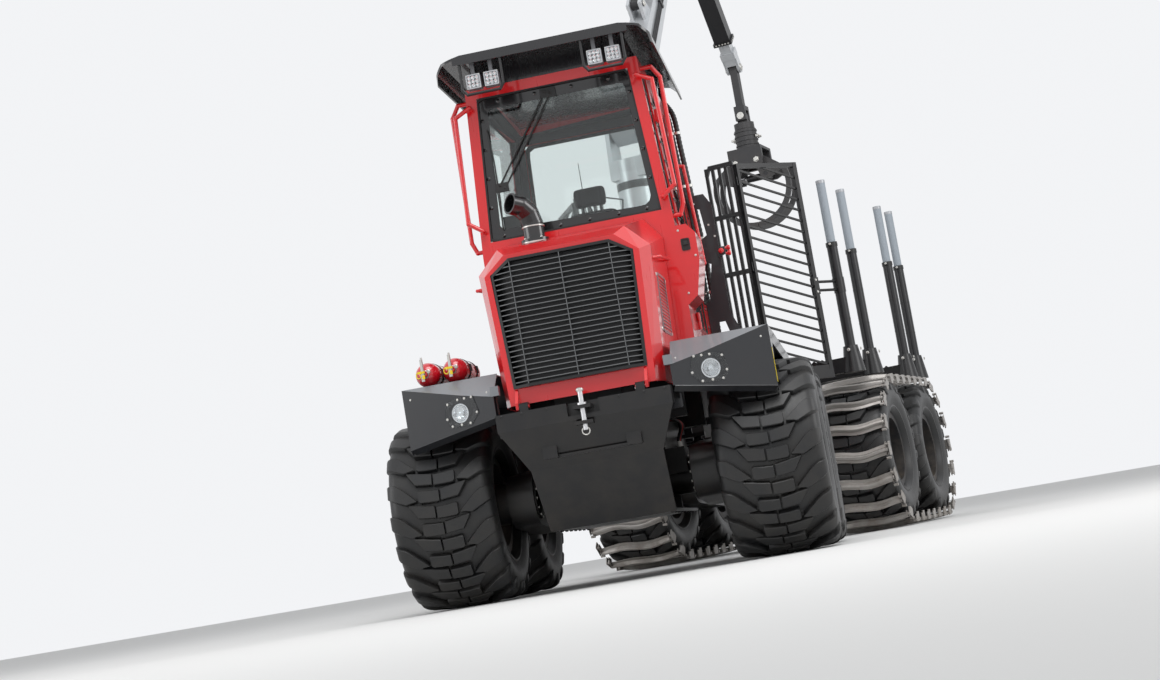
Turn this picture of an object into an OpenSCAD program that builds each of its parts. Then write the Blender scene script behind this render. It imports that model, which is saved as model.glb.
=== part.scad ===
// Forestry forwarder: bogie machine with articulated frames, load space and timber crane.
// Front faces -Y, the machine's left is +X, up is +Z, sizes in mm.
// Sub-parts are drawn straight, then the rear frame is swung about the hinge.

/* [View] */
// Sub-part to build, or all of them

/* [Frames] */
// Swing of the rear frame in the rest pose, degrees
rest_steer = 13; // [0:1:40]
// Hinge between the frames, behind the front bogie
hinge_y = 1950; // [1800:10:2200]
// Rear bogie behind the front bogie
rear_axle_y = 5450; // [5000:10:6000]
// Wheel spacing inside a bogie
bogie_gap = 1500; // [1400:10:1600]

/* [Wheels] */
// Tyre radius out to the lug tips
tyre_r = 680; // [600:5:760]
// Tyre width
tyre_w = 760; // [600:10:850]
// Tyre centre from the middle of the machine
tyre_x = 1150; // [1000:5:1300]
// Rim seat radius
rim_r = 336; // [300:1:360]
// Height of the tread lugs
lug_h = 40; // [25:1:50]
// Lugs in each of a tyre's two rows
lug_count = 18; // [16:1:22]
// Slant of the lugs against the wheel's axle, degrees
lug_angle = 28; // [10:1:35]
// Length of a lug round the tread
lug_len = 96; // [70:1:110]
// Height of the track cleats over the rear tyres
track_t = 60; // [40:1:90]
// Height of the track links over the rear tyres
link_h = 34; // [20:1:38]
// Shoes in a track
shoe_count = 28; // [24:1:36]

/* [Cab] */
// Half width of the cab at its floor
cab_half = 720; // [650:5:850]
// Front face of the cab
cab_front = -560; // [-700:10:0]
// Rear face of the cab
cab_back = 1180; // [1000:10:1700]
// Cab floor height
cab_floor = 1560; // [1400:10:1700]
// Top of the cab frame, under the roof
cab_top = 3770; // [3500:10:3900]

/* [Load space] */
// Stake distance from the middle of the wagon
stake_x = 1342; // [1200:1:1450]
// Top of the stakes
stake_top = 3330; // [3000:1:3800]
// Change from black stake to grey extension
stake_join = 2730; // [2400:1:3000]

/* [Crane] */
// Crane pillar position on the rear frame
crane_y = 2700; // [2500:10:3000]
// Height of the boom pivot
pivot_z = 3950; // [3500:10:4200]
// Main boom length, pin to pin
boom_len = 4000; // [3500:10:4500]
// Main boom angle above level in the rest pose
boom_rise = 47; // [20:1:75]
// Outer boom length, pin to tip pin
jib_len = 2080; // [1800:10:2600]
// Outer boom angle below level in the rest pose
jib_drop = 52; // [20:1:85]

/* [Hidden] */
$fn = 48;
elbow_y = crane_y + boom_len * cos(boom_rise);
elbow_z = pivot_z + boom_len * sin(boom_rise);
tip_y = elbow_y + jib_len * cos(jib_drop);
tip_z = elbow_z - jib_len * sin(jib_drop);
rear_z = tyre_r + track_t;
stake_ys = [4083, 4833, 6400, 6930];
// Underside of the bunks, clear of the tracks
bunk_z = rear_z + tyre_r + track_t + 20;
// Door opening
door_y0 = -60;
door_y1 = 980;
// Lean of the cab's upper half, each side
cab_lean = 65;
rear_end = 7560;
wheel_ys = [-bogie_gap / 2, bogie_gap / 2];
track_half = 400;
// Tread surface between the lugs
casing_r = tyre_r - lug_h;
// Middle of the outline at rest: right front tyre, left rear track, tow pin, right frame end
bumper_y = -1740;
end_half = 700;
mid_x = (cos(rest_steer) * (tyre_x + track_half)
    + sin(rest_steer) * (rear_axle_y + bogie_gap / 2 + rear_z - hinge_y)
    - tyre_x - tyre_w / 2) / 2;
mid_y = (hinge_y + cos(rest_steer) * (rear_end - hinge_y) + sin(rest_steer) * end_half
    + bumper_y - 34) / 2;
// Steering cylinder pins, in front of and behind the hinge
steer_pin = [480, 1000];
steer_eye = [420, 2150];
steer_z = 945;

// Box between two limits on each axis
module slab(x0, x1, y0, y1, z0, z1) {
    translate([x0, y0, z0]) cube([x1 - x0, y1 - y0, z1 - z0]);
}

// Flat outline in (y, z), drawn out along X
module along_x(x0, x1) {
    translate([x0, 0, 0]) rotate([90, 0, 90]) linear_extrude(x1 - x0) children();
}

// Flat outline in (x, z), drawn out along Y
module along_y(y0, y1) {
    translate([0, y1, 0]) rotate([90, 0, 0]) linear_extrude(y1 - y0) children();
}

// Round bar along X
module bar_x(x0, x1, y, z, r) {
    translate([x0, y, z]) rotate([0, 90, 0]) cylinder(r = r, h = x1 - x0);
}

// Round bar along Y
module bar_y(x, y0, y1, z, r) {
    translate([x, y1, z]) rotate([90, 0, 0]) cylinder(r = r, h = y1 - y0);
}

// Round bar from point a to point b
module rod(a, b, r) {
    d = b - a;
    len = norm(d);
    translate(a)
        rotate([0, acos(d[2] / len), atan2(d[1], d[0])])
            cylinder(r = r, h = len, $fn = 16);
}

// Bent tube through a list of points, balls at the bends
module tube_path(pts, r) {
    for (i = [0 : len(pts) - 2]) rod(pts[i], pts[i + 1], r);
    for (i = [1 : 1 : len(pts) - 2]) translate(pts[i]) sphere(r = r + 1, $fn = 16);
}

// Both sides of the machine
module sides() {
    children();
    mirror([1, 0, 0]) children();
}

// Moves the drawing so that the middle of the outline is at the origin
module placed() {
    translate([-mid_x, -mid_y, 0]) children();
}

// Rear frame parts, drawn straight and swung about the hinge
module swung() {
    placed() translate([0, hinge_y, 0]) rotate([0, 0, -rest_steer])
        translate([0, -hinge_y, 0]) children();
}

// Crane parts drawn flat in (y, z): origin at a pin, first axis along the boom
module crane_at(y, z, angle) {
    translate([0, y, z]) rotate([angle, 0, 0]) children();
}

// Front frame

module front_chassis() color([0.06, 0.06, 0.07]) placed() {
    sides() slab(240, 340, -1560, 1400, 900, 1180);
    slab(-340, 340, -1560, 300, 900, 920);
    slab(-340, 340, 1250, 1400, 760, 1240);
    for (z = [760, 1160])
        difference() {
            union() {
                slab(-260, 260, 1390, hinge_y, z, z + 80);
                translate([0, hinge_y, z]) cylinder(r = 200, h = 80);
            }
            translate([0, hinge_y, z - 1]) cylinder(r = 60, h = 82);
        }
    translate([0, hinge_y, 720]) cylinder(r = 60, h = 560);
    // Bumper beam with a folded lip, and a chin that narrows down to the belly plate
    difference() {
        union() {
            slab(-600, 600, -1716, -1560, 1130, 1240);
            hull() {
                slab(-600, 600, -1716, -1696, 1120, 1132);
                slab(-460, 460, -1480, -1460, 840, 852);
            }
        }
        slab(-110, 110, -1720, -1640, 1150, 1245);
    }
    hull() {
        slab(-460, 460, -1480, -1460, 840, 852);
        slab(-445, 445, -1180, -1160, 420, 440);
    }
    slab(-445, 445, -1170, 300, 420, 440);
    sides() slab(240, 340, -1600, -1560, 900, 1180);
    for (y = [-1100, 270]) slab(-340, 340, y, y + 20, 430, 905);
    // Tow pin bracket
    for (z = [1080, 1186]) difference() {
        slab(-60, 60, bumper_y - 34, -1630, z, z + 24);
        translate([0, bumper_y, z - 1]) cylinder(r = 18.2, h = 26);
    }
    // Hood hinge ears
    for (x = [-400, 400]) difference() {
        along_x(x - 30, x + 30)
            polygon([[-1700, 1200], [-1630, 1200], [-1630, 1290], [-1644, 1298],
                [-1686, 1298], [-1700, 1290]]);
        bar_x(x - 31, x + 31, -1665, 1270, 12);
    }
    // Cab carriers
    for (y = [cab_front + 60, cab_back - 160])
        difference() {
            slab(-560, 560, y, y + 100, 1100, cab_floor);
            slab(-239, 239, y - 1, y + 101, 1000, 1500);
        }
    // Steering cylinder ears
    sides() for (z = [steer_z - 95, steer_z + 65]) difference() {
        slab(330, 540, 940, 1060, z, z + 30);
        translate([steer_pin[0], steer_pin[1], z - 1]) cylinder(r = 30.5, h = 32);
    }
    sides() slab(330, 350, 940, 1060, 850, 1040);
}

module engine_block() color([0.25, 0.25, 0.26]) placed() {
    slab(-235, 235, -1400, -600, 920, 1900);
}

module bogie_set(z) {
    bar_x(-590, 590, 0, z, 130);
    translate([0, 0, z]) rotate([0, 90, 0]) sphere(r = 215);
    sides() {
        along_x(570, 760) union() {
            for (y = wheel_ys) translate([y, z]) circle(r = 190);
            translate([0, z]) circle(r = 245);
            polygon([[-bogie_gap / 2, z - 190], [0, z - 245], [bogie_gap / 2, z - 190],
                [bogie_gap / 2, z + 190], [0, z + 245], [-bogie_gap / 2, z + 190]]);
        }
        for (y = wheel_ys) {
            bar_x(760, 990, y, z, 150);
            bar_x(990, 1130, y, z, 60);
        }
    }
}

module front_bogies() color([0.05, 0.05, 0.06]) placed() {
    bogie_set(tyre_r);
    sides() slab(240, 470, -150, 150, tyre_r + 30, 900);
}

// Front panel line of a fender in plan, from the hood out to the wheel side
module fender_panel_at() {
    translate([570, -1620, 0]) rotate([0, 0, 18.43]) children();
}

module fenders() color([0.2, 0.2, 0.21]) placed() {
    sides() {
        // Front panel with the lamp hole
        difference() {
            fender_panel_at() translate([0, 8, 0]) rotate([90, 0, 0]) linear_extrude(8)
                polygon([[44, 1372], [759, 1557], [759, 1134], [44, 1240]]);
            fender_panel_at() translate([320, 20, 1318]) rotate([90, 0, 0])
                cylinder(r = 68, h = 40);
        }
        // Light upper facet, folded down to the hood side
        intersection() {
            along_x(612, 1290)
                polygon([[-1620, 1366], [-1340, 1560], [-1340, 1551], [-1620, 1357]]);
            translate([0, 0, 1300]) linear_extrude(300)
                polygon([[570, -1612], [1290, -1372], [1290, -1330], [570, -1330]]);
        }
        // Under facet behind the lower edge
        fender_panel_at() translate([44, 8, 1240]) rotate([0, 8.43, 0]) rotate([-28, 0, 0])
            slab(14, 722, -8, 60, -8, 0);
        // Top plate over the wheels
        slab(628, 1290, -1342, 1400, 1552, 1560);
        // Outer skirt
        along_x(1282, 1290)
            polygon([[-1378, 1134], [-1330, 1100], [-1240, 1330], [-1100, 1450], [1400, 1450],
                [1400, 1558], [-1340, 1558]]);
        slab(628, 1290, 1392, 1400, 1220, 1558);
        // Inner carriers on the frame
        for (y = [-1440, 1180]) {
            slab(340, 640, y, y + 60, 1100, 1160);
            slab(628, 640, y, y + 60, 1100, y < 0 ? 1480 : 1556);
        }
        // Bracket block beside the hood's lower corner
        slab(572, 628, -1600, -1540, 1385, 1450);
        // Gusset up to the cab side
        slab(628, 720, 1180, 1188, 1556, 1559);
    }
}

module fender_lamps() color([0.3, 0.31, 0.33]) placed() {
    sides() fender_panel_at() translate([320, 60, 1318]) rotate([90, 0, 0]) {
        cylinder(r = 67.8, h = 58);
        cylinder(r = 80, h = 51.8);
    }
}

module lamp_covers() color([0.85, 0.87, 0.9, 0.5]) placed() {
    sides() fender_panel_at() rotate([90, 0, 0]) linear_extrude(5)
        polygon([[170, 1300], [205, 1425], [330, 1425], [420, 1405], [440, 1290], [400, 1225],
            [240, 1225]]);
}

module tow_pin() color([0.75, 0.75, 0.78]) placed() {
    translate([0, bumper_y, 0]) {
        translate([0, 0, 1040]) cylinder(r = 18, h = 260);
        translate([0, 0, 1210]) cylinder(r = 34, h = 14);
    }
}

module extinguishers() color([0.75, 0.04, 0.05]) placed() {
    for (x = [-1130, -930]) {
        bar_y(x, -1180, -760, 1652, 88);
        translate([x, -1180, 1652]) sphere(r = 88);
        bar_y(x, -1320, -1240, 1652, 24);
        for (y = [-1080, -860]) slab(x - 60, x + 60, y, y + 40, 1560, 1600);
    }
}

module cab_steps() color([0.12, 0.12, 0.13]) placed() {
    sides() {
        for (z = [560, 880, 1200]) slab(860, 1240, 1500, 1730, z, z + 30);
        for (x = [860, 1228]) slab(x, x + 12, 1480, 1530, 560, 1545);
        slab(628, 1240, 1401, 1480, 1515, 1545);
        slab(860, 1240, 1470, 1500, 1515, 1545);
        slab(340, 400, 1401, 1450, 1000, 1545);
        slab(340, 640, 1401, 1450, 1515, 1545);
    }
    // Stand-up plate behind the door, with its window and a latch
    difference() {
        along_y(1130, 1142)
            polygon([[726, 1561], [1040, 1561], [1010, 1700], [905, 1960], [905, 2860],
                [850, 2960], [722, 2960], [722, 2860], [800, 2840], [822, 2620], [722, 2560],
                [722, 2420], [820, 2380], [760, 2100], [722, 2060]]);
        along_y(1100, 1150) polygon([[800, 1700], [900, 1700], [850, 1900], [800, 1900]]);
    }
    along_y(1090, 1130) polygon([[890, 2420], [950, 2440], [950, 2500], [890, 2500]]);
}

// Front view of the cab: upright below the waist, leaning in above
function cab_outline(d) = [[-cab_half + d, cab_floor + d], [cab_half - d, cab_floor + d],
    [cab_half - d, 2500], [cab_half - cab_lean - d, cab_top - d],
    [-cab_half + cab_lean + d, cab_top - d], [-cab_half + d, 2500]];

// Wall band of the left side between two depths
module side_band(d0, d1, y0, y1) {
    along_y(y0, y1)
        polygon([[cab_half - d1, cab_floor], [cab_half - d0, cab_floor], [cab_half - d0, 2500],
            [cab_half - cab_lean - d0, cab_top], [cab_half - cab_lean - d1, cab_top],
            [cab_half - d1, 2500]]);
}

module windscreen_shape() {
    polygon([[-cab_half + 75, 2606], [cab_half - 75, 2606], [cab_half - 143, 3692],
        [-cab_half + 143, 3692]]);
}

module rear_window_shape() {
    polygon([[-cab_half + 130, 2100], [cab_half - 130, 2100], [cab_half - 180, 3640],
        [-cab_half + 180, 3640]]);
}

module cab_shell() color([0.72, 0.03, 0.05]) placed() {
    difference() {
        along_y(cab_front, cab_back) polygon(cab_outline(0));
        along_y(cab_front + 60, cab_back - 60) polygon(cab_outline(60));
        // Windscreen
        along_y(cab_front - 1, cab_front + 61) windscreen_shape();
        // Rear window
        along_y(cab_back - 61, cab_back + 1) rear_window_shape();
        // Roof opening
        slab(-540, 540, cab_front + 120, cab_back - 120, cab_top - 61, cab_top + 1);
        // Right side windows
        slab(-cab_half - 80, -cab_half + 160, cab_front + 90, -130, 2120, 3680);
        slab(-cab_half - 80, -cab_half + 160, -40, cab_back - 90, 2020, 3680);
        // Door opening on the left, with a small window in front of it
        slab(cab_half - 160, cab_half + 80, door_y0 - 4, door_y1 + 4, cab_floor + 40, 3696);
        slab(cab_half - 160, cab_half + 80, cab_front + 90, door_y0 - 90, 2520, 3680);
    }
    // Door hinge pins and knuckles
    for (z = [1740, 2340]) {
        translate([cab_half + 16, door_y0 - 14, z]) cylinder(r = 8, h = 130);
        translate([cab_half + 16, door_y0 - 14, z]) cylinder(r = 15, h = 60);
        slab(cab_half - 10, cab_half + 16, door_y0 - 24, door_y0 - 8, z, z + 60);
    }
    // Storage box in front of the door
    along_y(cab_front, door_y0 - 60)
        polygon([[cab_half - 1, 1880], [cab_half + 80, 1940], [cab_half + 136, 2200],
            [cab_half + 136, 2400], [cab_half + 80, 2470], [cab_half - 1, 2470]]);
}

module cab_glass() color([0.55, 0.62, 0.66, 0.5]) placed() {
    along_y(cab_front + 20, cab_front + 28) windscreen_shape();
    along_y(cab_back - 28, cab_back - 20) rear_window_shape();
    mirror([1, 0, 0]) intersection() {
        side_band(20, 28, cab_front, cab_back);
        union() {
            slab(cab_half - 160, cab_half + 80, cab_front + 90, -130, 2120, 3680);
            slab(cab_half - 160, cab_half + 80, -40, cab_back - 90, 2020, 3680);
        }
    }
    intersection() {
        side_band(20, 28, cab_front, cab_back);
        slab(cab_half - 160, cab_half + 80, cab_front + 90, door_y0 - 90, 2520, 3680);
    }
}

module roof_skin() {
    polygon([[-812, 3790], [-798, 3790], [-786, 3850], [-730, 3905], [-590, 3932],
        [590, 3932], [730, 3905], [786, 3850], [798, 3790], [812, 3790], [802, 3862],
        [740, 3921], [594, 3950], [-594, 3950], [-740, 3921], [-802, 3862]]);
}

module cab_roof() color([0.04, 0.04, 0.05]) placed() {
    intersection() {
        along_y(-900, cab_back + 60) roof_skin();
        translate([0, 0, 3700]) linear_extrude(300) union() {
            slab_2d(-812, 812, -740, cab_back + 60);
            slab_2d(-652, 652, -900, -700);
            for (x = [-652, 652]) translate([x, -740]) circle(r = 160);
        }
    }
    // Front lip of the visor
    slab(-652, 652, -900, -888, 3880, 3940);
    slab(-590, 590, cab_front + 10, cab_back - 10, cab_top, 3933);
    // Sensor pods and red-orange markers
    for (x = [-350, 250]) translate([x, -560, 3949]) cylinder(r1 = 85, r2 = 66, h = 62);
    for (x = [-560, 470]) translate([x, -640, 3949]) cylinder(r1 = 34, r2 = 16, h = 62);
}

module slab_2d(x0, x1, y0, y1) {
    translate([x0, y0]) square([x1 - x0, y1 - y0]);
}

module roof_lamps() color([0.8, 0.8, 0.75]) placed() {
    for (x = [-520, -385, 385, 520]) {
        slab(x - 54, x + 54, -872, -812, 3690, 3798);
        slab(x - 14, x + 14, -850, -830, 3797, 3931.8);
    }
}

module guard_tubes() color([0.75, 0.04, 0.06]) placed() {
    sides() {
        // Grab tube beside the windscreen
        tube_path([[630, cab_front - 0.2, 3620], [630, cab_front - 60, 3620],
            [745, cab_front - 66, 3560], [775, cab_front - 66, 2760],
            [676, cab_front - 60, 2690], [676, cab_front - 0.2, 2690]], 16);
        // Long outer guard loop
        tube_path([[660.3, -470, 3690], [740, -470, 3690], [795, -470, 3600], [802, -470, 2640],
            [770, -470, 2560], [718.3, -470, 2560]], 16);
    }
}

// Black tubes around the roof lamps
module lamp_guards() color([0.04, 0.04, 0.05]) placed() {
    sides() tube_path([[300, -884, 3879.4], [300, -890, 3690], [330, -890, 3650],
        [575, -890, 3650], [605, -890, 3690], [605, -884, 3879.4]], 11);
}

module seat() color([0.1, 0.1, 0.1]) placed() {
    translate([0, 330, 0]) {
        slab(-250, 250, -250, 250, 2020, 2140);
        slab(-230, 230, 180, 290, 2140, 2900);
        translate([0, 0, cab_floor + 60]) cylinder(r = 180, h = 2020 - cab_floor - 60);
    }
}

module controls() color([0.15, 0.15, 0.16]) placed() {
    slab(-330, 330, cab_front + 60, cab_front + 220, cab_floor + 60, 2520);
    sides() {
        slab(290, 380, 150, 500, 2250, 2330);
        slab(310, 360, 300, 360, cab_floor + 60, 2250);
    }
}

// Wheels

// Tyre about the X axis, centre at the origin
// Tyre: casing, and two rows of lugs in a V whose point leads when driving forward
module tyre_body() {
    rotate([0, 90, 0]) rotate_extrude($fn = 64)
        polygon([[rim_r + 0.2, -290], [rim_r + 22, -290.2], [400, -350], [540, -tyre_w / 2 + 8],
            [casing_r, -tyre_w / 2 + 80], [casing_r, tyre_w / 2 - 80], [540, tyre_w / 2 - 8],
            [400, 350], [rim_r + 22, 290.2], [rim_r + 0.2, 290]]);
    for (side = [0, 1], k = [0 : lug_count - 1])
        rotate([(k + side / 2) * 360 / lug_count, 0, 0]) mirror([side, 0, 0]) lug();
}

module lug() {
    mid = tyre_w / 4;
    translate([mid, 0, 0]) rotate([0, 0, lug_angle]) translate([-mid, 0, 0])
        along_y(-lug_len / 2, lug_len / 2)
            polygon([[16, casing_r - 30], [16, tyre_r - 12], [tyre_w / 2 - 80, tyre_r - 12],
                [tyre_w / 2 - 8, tyre_r - 90], [tyre_w / 2 - 60, tyre_r - 124]]);
}

// Rim about the X axis, outer side towards +X
module rim_body() {
    difference() {
        rotate([0, 90, 0]) rotate_extrude($fn = 64)
            polygon([[300, -300], [rim_r + 18, -300], [rim_r + 18, -290.5], [rim_r, -290.4],
                [rim_r, 290.4], [rim_r + 18, 290.5], [rim_r + 18, 300], [300, 300], [300, -120],
                [60.4, -120], [60.4, -155], [300, -155]]);
    }
    bar_x(-20, 10, 0, 0, 230);
    rotate([0, 90, 0]) rotate_extrude($fn = 64)
        polygon([[60.4, -150], [230, -150], [230, -10], [60.4, -10]]);
}

module wheel_at(x, y, z) {
    translate([x, y, z]) mirror([x < 0 ? 1 : 0, 0, 0]) children();
}

module tyre(x, y) color([0.03, 0.03, 0.03]) placed() wheel_at(x, y, tyre_r) tyre_body();
module rim(x, y) color([0.1, 0.1, 0.1]) placed() wheel_at(x, y, tyre_r) rim_body();

module tyre_left_1() tyre(tyre_x, wheel_ys[0]);
module tyre_left_2() tyre(tyre_x, wheel_ys[1]);
module tyre_right_1() tyre(-tyre_x, wheel_ys[0]);
module tyre_right_2() tyre(-tyre_x, wheel_ys[1]);
module rim_left_1() rim(tyre_x, wheel_ys[0]);
module rim_left_2() rim(tyre_x, wheel_ys[1]);
module rim_right_1() rim(-tyre_x, wheel_ys[0]);
module rim_right_2() rim(-tyre_x, wheel_ys[1]);

// Door

module door_frame() color([0.72, 0.03, 0.05]) placed() {
    difference() {
        side_band(0, 45, door_y0 + 2, door_y1 - 2);
        slab(cab_half - 160, cab_half + 80, -400, 1200, 3690, 4000);
        slab(cab_half - 160, cab_half + 80, -400, 1200, 1500, cab_floor + 46);
        slab(cab_half - 160, cab_half + 80, door_y0 + 70, door_y1 - 70, 1780, 3620);
    }
    // Hinge knuckles
    for (z = [1740, 2340]) difference() {
        union() {
            translate([cab_half + 16, door_y0 - 14, z + 65]) cylinder(r = 15, h = 60);
            slab(cab_half + 1, cab_half + 16, door_y0 - 14, door_y0 + 40, z + 65, z + 125);
            slab(cab_half - 5, cab_half + 2, door_y0 + 6, door_y0 + 40, z + 65, z + 125);
        }
        translate([cab_half + 16, door_y0 - 14, z + 60]) cylinder(r = 8.3, h = 70);
    }
    // Grab bar
    tube_path([[cab_half - 20, 944, 2350], [cab_half + 60, 944, 2370],
        [cab_half + 25, 944, 3180], [cab_half - 60, 944, 3200]], 14);
}

module door_glass() color([0.55, 0.62, 0.66, 0.5]) placed() {
    intersection() {
        side_band(14, 22, door_y0 + 70, door_y1 - 70);
        slab(cab_half - 160, cab_half + 80, door_y0 + 70, door_y1 - 70, 1780, 3620);
    }
}

// Hood

// Cross-section of the hood at one station, with chamfered top corners
module hood_ring(y, wb, wm, zm, wt, zt) {
    along_y(y, y + 1)
        polygon([[-wb, 1292], [wb, 1292], [wm, zm], [wt, zt], [-wt, zt], [-wm, zm]]);
}

module hood_outer() {
    hull() {
        hood_ring(-1600, 502, 540, 2195, 385, 2325);
        hood_ring(-1450, 556, 606, 2235, 450, 2392);
        hood_ring(-577, 586, 622, 2400, 500, 2560);
    }
}

module grille_outline(d) {
    polygon([[-463 + d, 1404 + d], [463 - d, 1404 + d], [500 - d, 2200 - d / 2],
        [353 - d / 2, 2290 - d], [-353 + d / 2, 2290 - d], [-500 + d, 2200 - d / 2]]);
}

// Three-facet band seen from above, between two depths behind the grille's face
module grille_band(d0, d1) {
    translate([0, 0, 1380]) linear_extrude(940)
        polygon([[-510, -1590 + d0], [-350, -1650 + d0], [350, -1650 + d0], [510, -1590 + d0],
            [510, -1590 + d1], [350, -1650 + d1], [-350, -1650 + d1], [-510, -1590 + d1]]);
}

module hood_shell() color([0.75, 0.03, 0.05]) placed() {
    difference() {
        hood_outer();
        hull() {
            hood_ring(-1580, 480, 518, 2190, 375, 2305);
            hood_ring(-1440, 536, 586, 2228, 440, 2372);
            hood_ring(-575, 566, 602, 2392, 490, 2540);
        }
        slab(-600, 600, -1700, -570, 1280, 1293);
        along_y(-1700, -1500) grille_outline(-0.2);
    }
    // Hinge lugs and pins at the lower front edge
    sides() {
        along_x(436, 456)
            polygon([[-1684, 1254], [-1650, 1254], [-1590, 1294], [-1590, 1400], [-1600, 1400],
                [-1688, 1300]]);
        bar_x(364, 440, -1665, 1270, 11.8);
    }
    // Grab loops on the hood sides
    sides() tube_path([[590, -1380, 2150], [650, -1360, 2150], [655, -820, 2200],
        [600, -800, 2200]], 11);
}

module grille() color([0.03, 0.03, 0.03]) placed() {
    intersection() {
        along_y(-1660, -1500) grille_outline(0);
        union() {
            difference() {
                grille_band(0, 45);
                along_y(-1700, -1400) grille_outline(20);
            }
            intersection() {
                grille_band(8, 34);
                union() for (i = [0 : 22]) slab(-505, 505, -1660, -1540, 1440 + i * 36, 1447 + i * 36);
            }
            for (x = [-352, -4, 344]) slab(x, x + 8, -1646, -1630, 1410, 2285);
            // Dark screen behind the slats
            intersection() {
                grille_band(60, 68);
                slab(-505, 505, -1660, -1500, 1404, 2290);
            }
            difference() {
                grille_band(40, 66);
                along_y(-1700, -1400) grille_outline(8);
            }
        }
    }
}

module exhaust() color([0.05, 0.05, 0.05]) placed() {
    difference() {
        union() {
            tube_path([[-275, -800, 2300], [-275, -800, 2640], [-292, -814, 2720],
                [-340, -860, 2780], [-400, -915, 2800]], 78);
            translate([-275, -800, 2300]) cylinder(r = 105, h = 225);
        }
        hood_outer();
        rod([-330, -850, 2768], [-410, -925, 2806], 66);
        slab(-700, 0, -1200, -400, 2200, 2400);
    }
}

// Rear frame

module rear_chassis() color([0.06, 0.06, 0.07]) swung() {
    difference() {
        union() {
            translate([0, hinge_y, 850]) cylinder(r = 140, h = 300);
            slab(-120, 120, hinge_y, 2500, 850, 1150);
        }
        translate([0, hinge_y, 800]) cylinder(r = 61, h = 400);
    }
    slab(-330, 330, 2400, 3100, 850, 1300);
    sides() slab(200, 330, 3000, rear_end - 60, 1050, 1300);
    for (y = [3600, 5330, rear_end - 160]) slab(-210, 210, y, y + 100, 1080, 1280);
    slab(-end_half, end_half, rear_end - 60, rear_end, 1050, 1300);
    // Beam under the gate
    slab(-800, 800, 3130, 3210, 1460, 1540.8);
    sides() slab(220, 330, 3130, 3210, 1280, 1500);
    sides() translate([794, 3170, 0]) rotate([0, 0, 57]) slab(-20, 748, -24, 24, 1460, 1540.8);
    sides() for (z = [steer_z - 95, steer_z + 65]) difference() {
        slab(110, 480, 2090, 2210, z, z + 30);
        translate([steer_eye[0], steer_eye[1], z - 1]) cylinder(r = 30.5, h = 32);
    }
}

module rear_bogies() color([0.05, 0.05, 0.06]) swung() {
    translate([0, rear_axle_y, 0]) bogie_set(rear_z);
    translate([0, rear_axle_y, 0]) sides() slab(210, 340, -150, 150, rear_z, 1050);
}

module rear_tyres() color([0.03, 0.03, 0.03]) swung() {
    for (x = [-tyre_x, tyre_x], y = wheel_ys) wheel_at(x, rear_axle_y + y, rear_z) tyre_body();
}

module rear_rims() color([0.1, 0.1, 0.1]) swung() {
    for (x = [-tyre_x, tyre_x], y = wheel_ys) wheel_at(x, rear_axle_y + y, rear_z) rim_body();
}

// Loop round both wheels of a bogie, at a height above the lug tips
module loop_outline(out) {
    for (y = wheel_ys) translate([rear_axle_y + y, rear_z]) circle(r = tyre_r + out);
    translate([rear_axle_y - bogie_gap / 2, rear_z - tyre_r - out])
        square([bogie_gap, 2 * (tyre_r + out)]);
}

// Places a shoe on the loop by its share of the way round
module on_loop(share) {
    arc = PI * tyre_r;
    way = share * (2 * bogie_gap + 2 * arc);
    on_arc = way % (bogie_gap + arc) > bogie_gap;
    lap = floor(way / (bogie_gap + arc));
    rest = way % (bogie_gap + arc);
    turn = 180 * lap + (on_arc ? (rest - bogie_gap) / tyre_r * 180 / PI : 0);
    start = lap == 0 ? 1 : -1;
    y = on_arc ? -start * bogie_gap / 2 : start * (bogie_gap / 2 - rest);
    translate([0, rear_axle_y + y, rear_z]) rotate([turn, 0, 0]) translate([0, 0, tyre_r]) children();
}

// Band track: side bands of links, with a shoe and its cleat at each pitch
module track(x) color([0.4, 0.38, 0.35]) swung() {
    for (side = [-1, 1])
        along_x(x + side * (track_half - 24) - 24, x + side * (track_half - 24) + 24) difference() {
            loop_outline(link_h);
            loop_outline(0);
        }
    translate([x, 0, 0]) for (k = [0 : shoe_count - 1]) on_loop(k / shoe_count) {
        slab(-track_half, track_half, -48, 48, 0.3, 16);
        slab(-track_half + 20, track_half - 20, -13, 13, 10, track_t);
    }
}

module track_left() track(tyre_x);
module track_right() track(-tyre_x);

module bunks() color([0.05, 0.05, 0.06]) swung() {
    for (y = stake_ys) {
        difference() {
            union() {
                slab(-stake_x, stake_x, y - 70, y + 70, bunk_z, bunk_z + 140);
                sides() translate([stake_x, y, bunk_z - 10])
                    cylinder(r1 = 104, r2 = 68, h = 250);
            }
            sides() translate([stake_x, y, bunk_z + 1]) cylinder(r = 50, h = 400);
        }
        slab(-320, 320, y - 50, y + 50, 1300, bunk_z + 10);
    }
}

module stakes() color([0.04, 0.04, 0.05]) swung() {
    for (y = stake_ys) sides() translate([stake_x, y, bunk_z + 1])
        cylinder(r = 50, h = stake_join - bunk_z - 1);
}

module stake_tips() color([0.55, 0.6, 0.65]) swung() {
    for (y = stake_ys) sides() translate([stake_x, y, stake_join])
        cylinder(r = 42, h = stake_top - stake_join);
}

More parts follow.
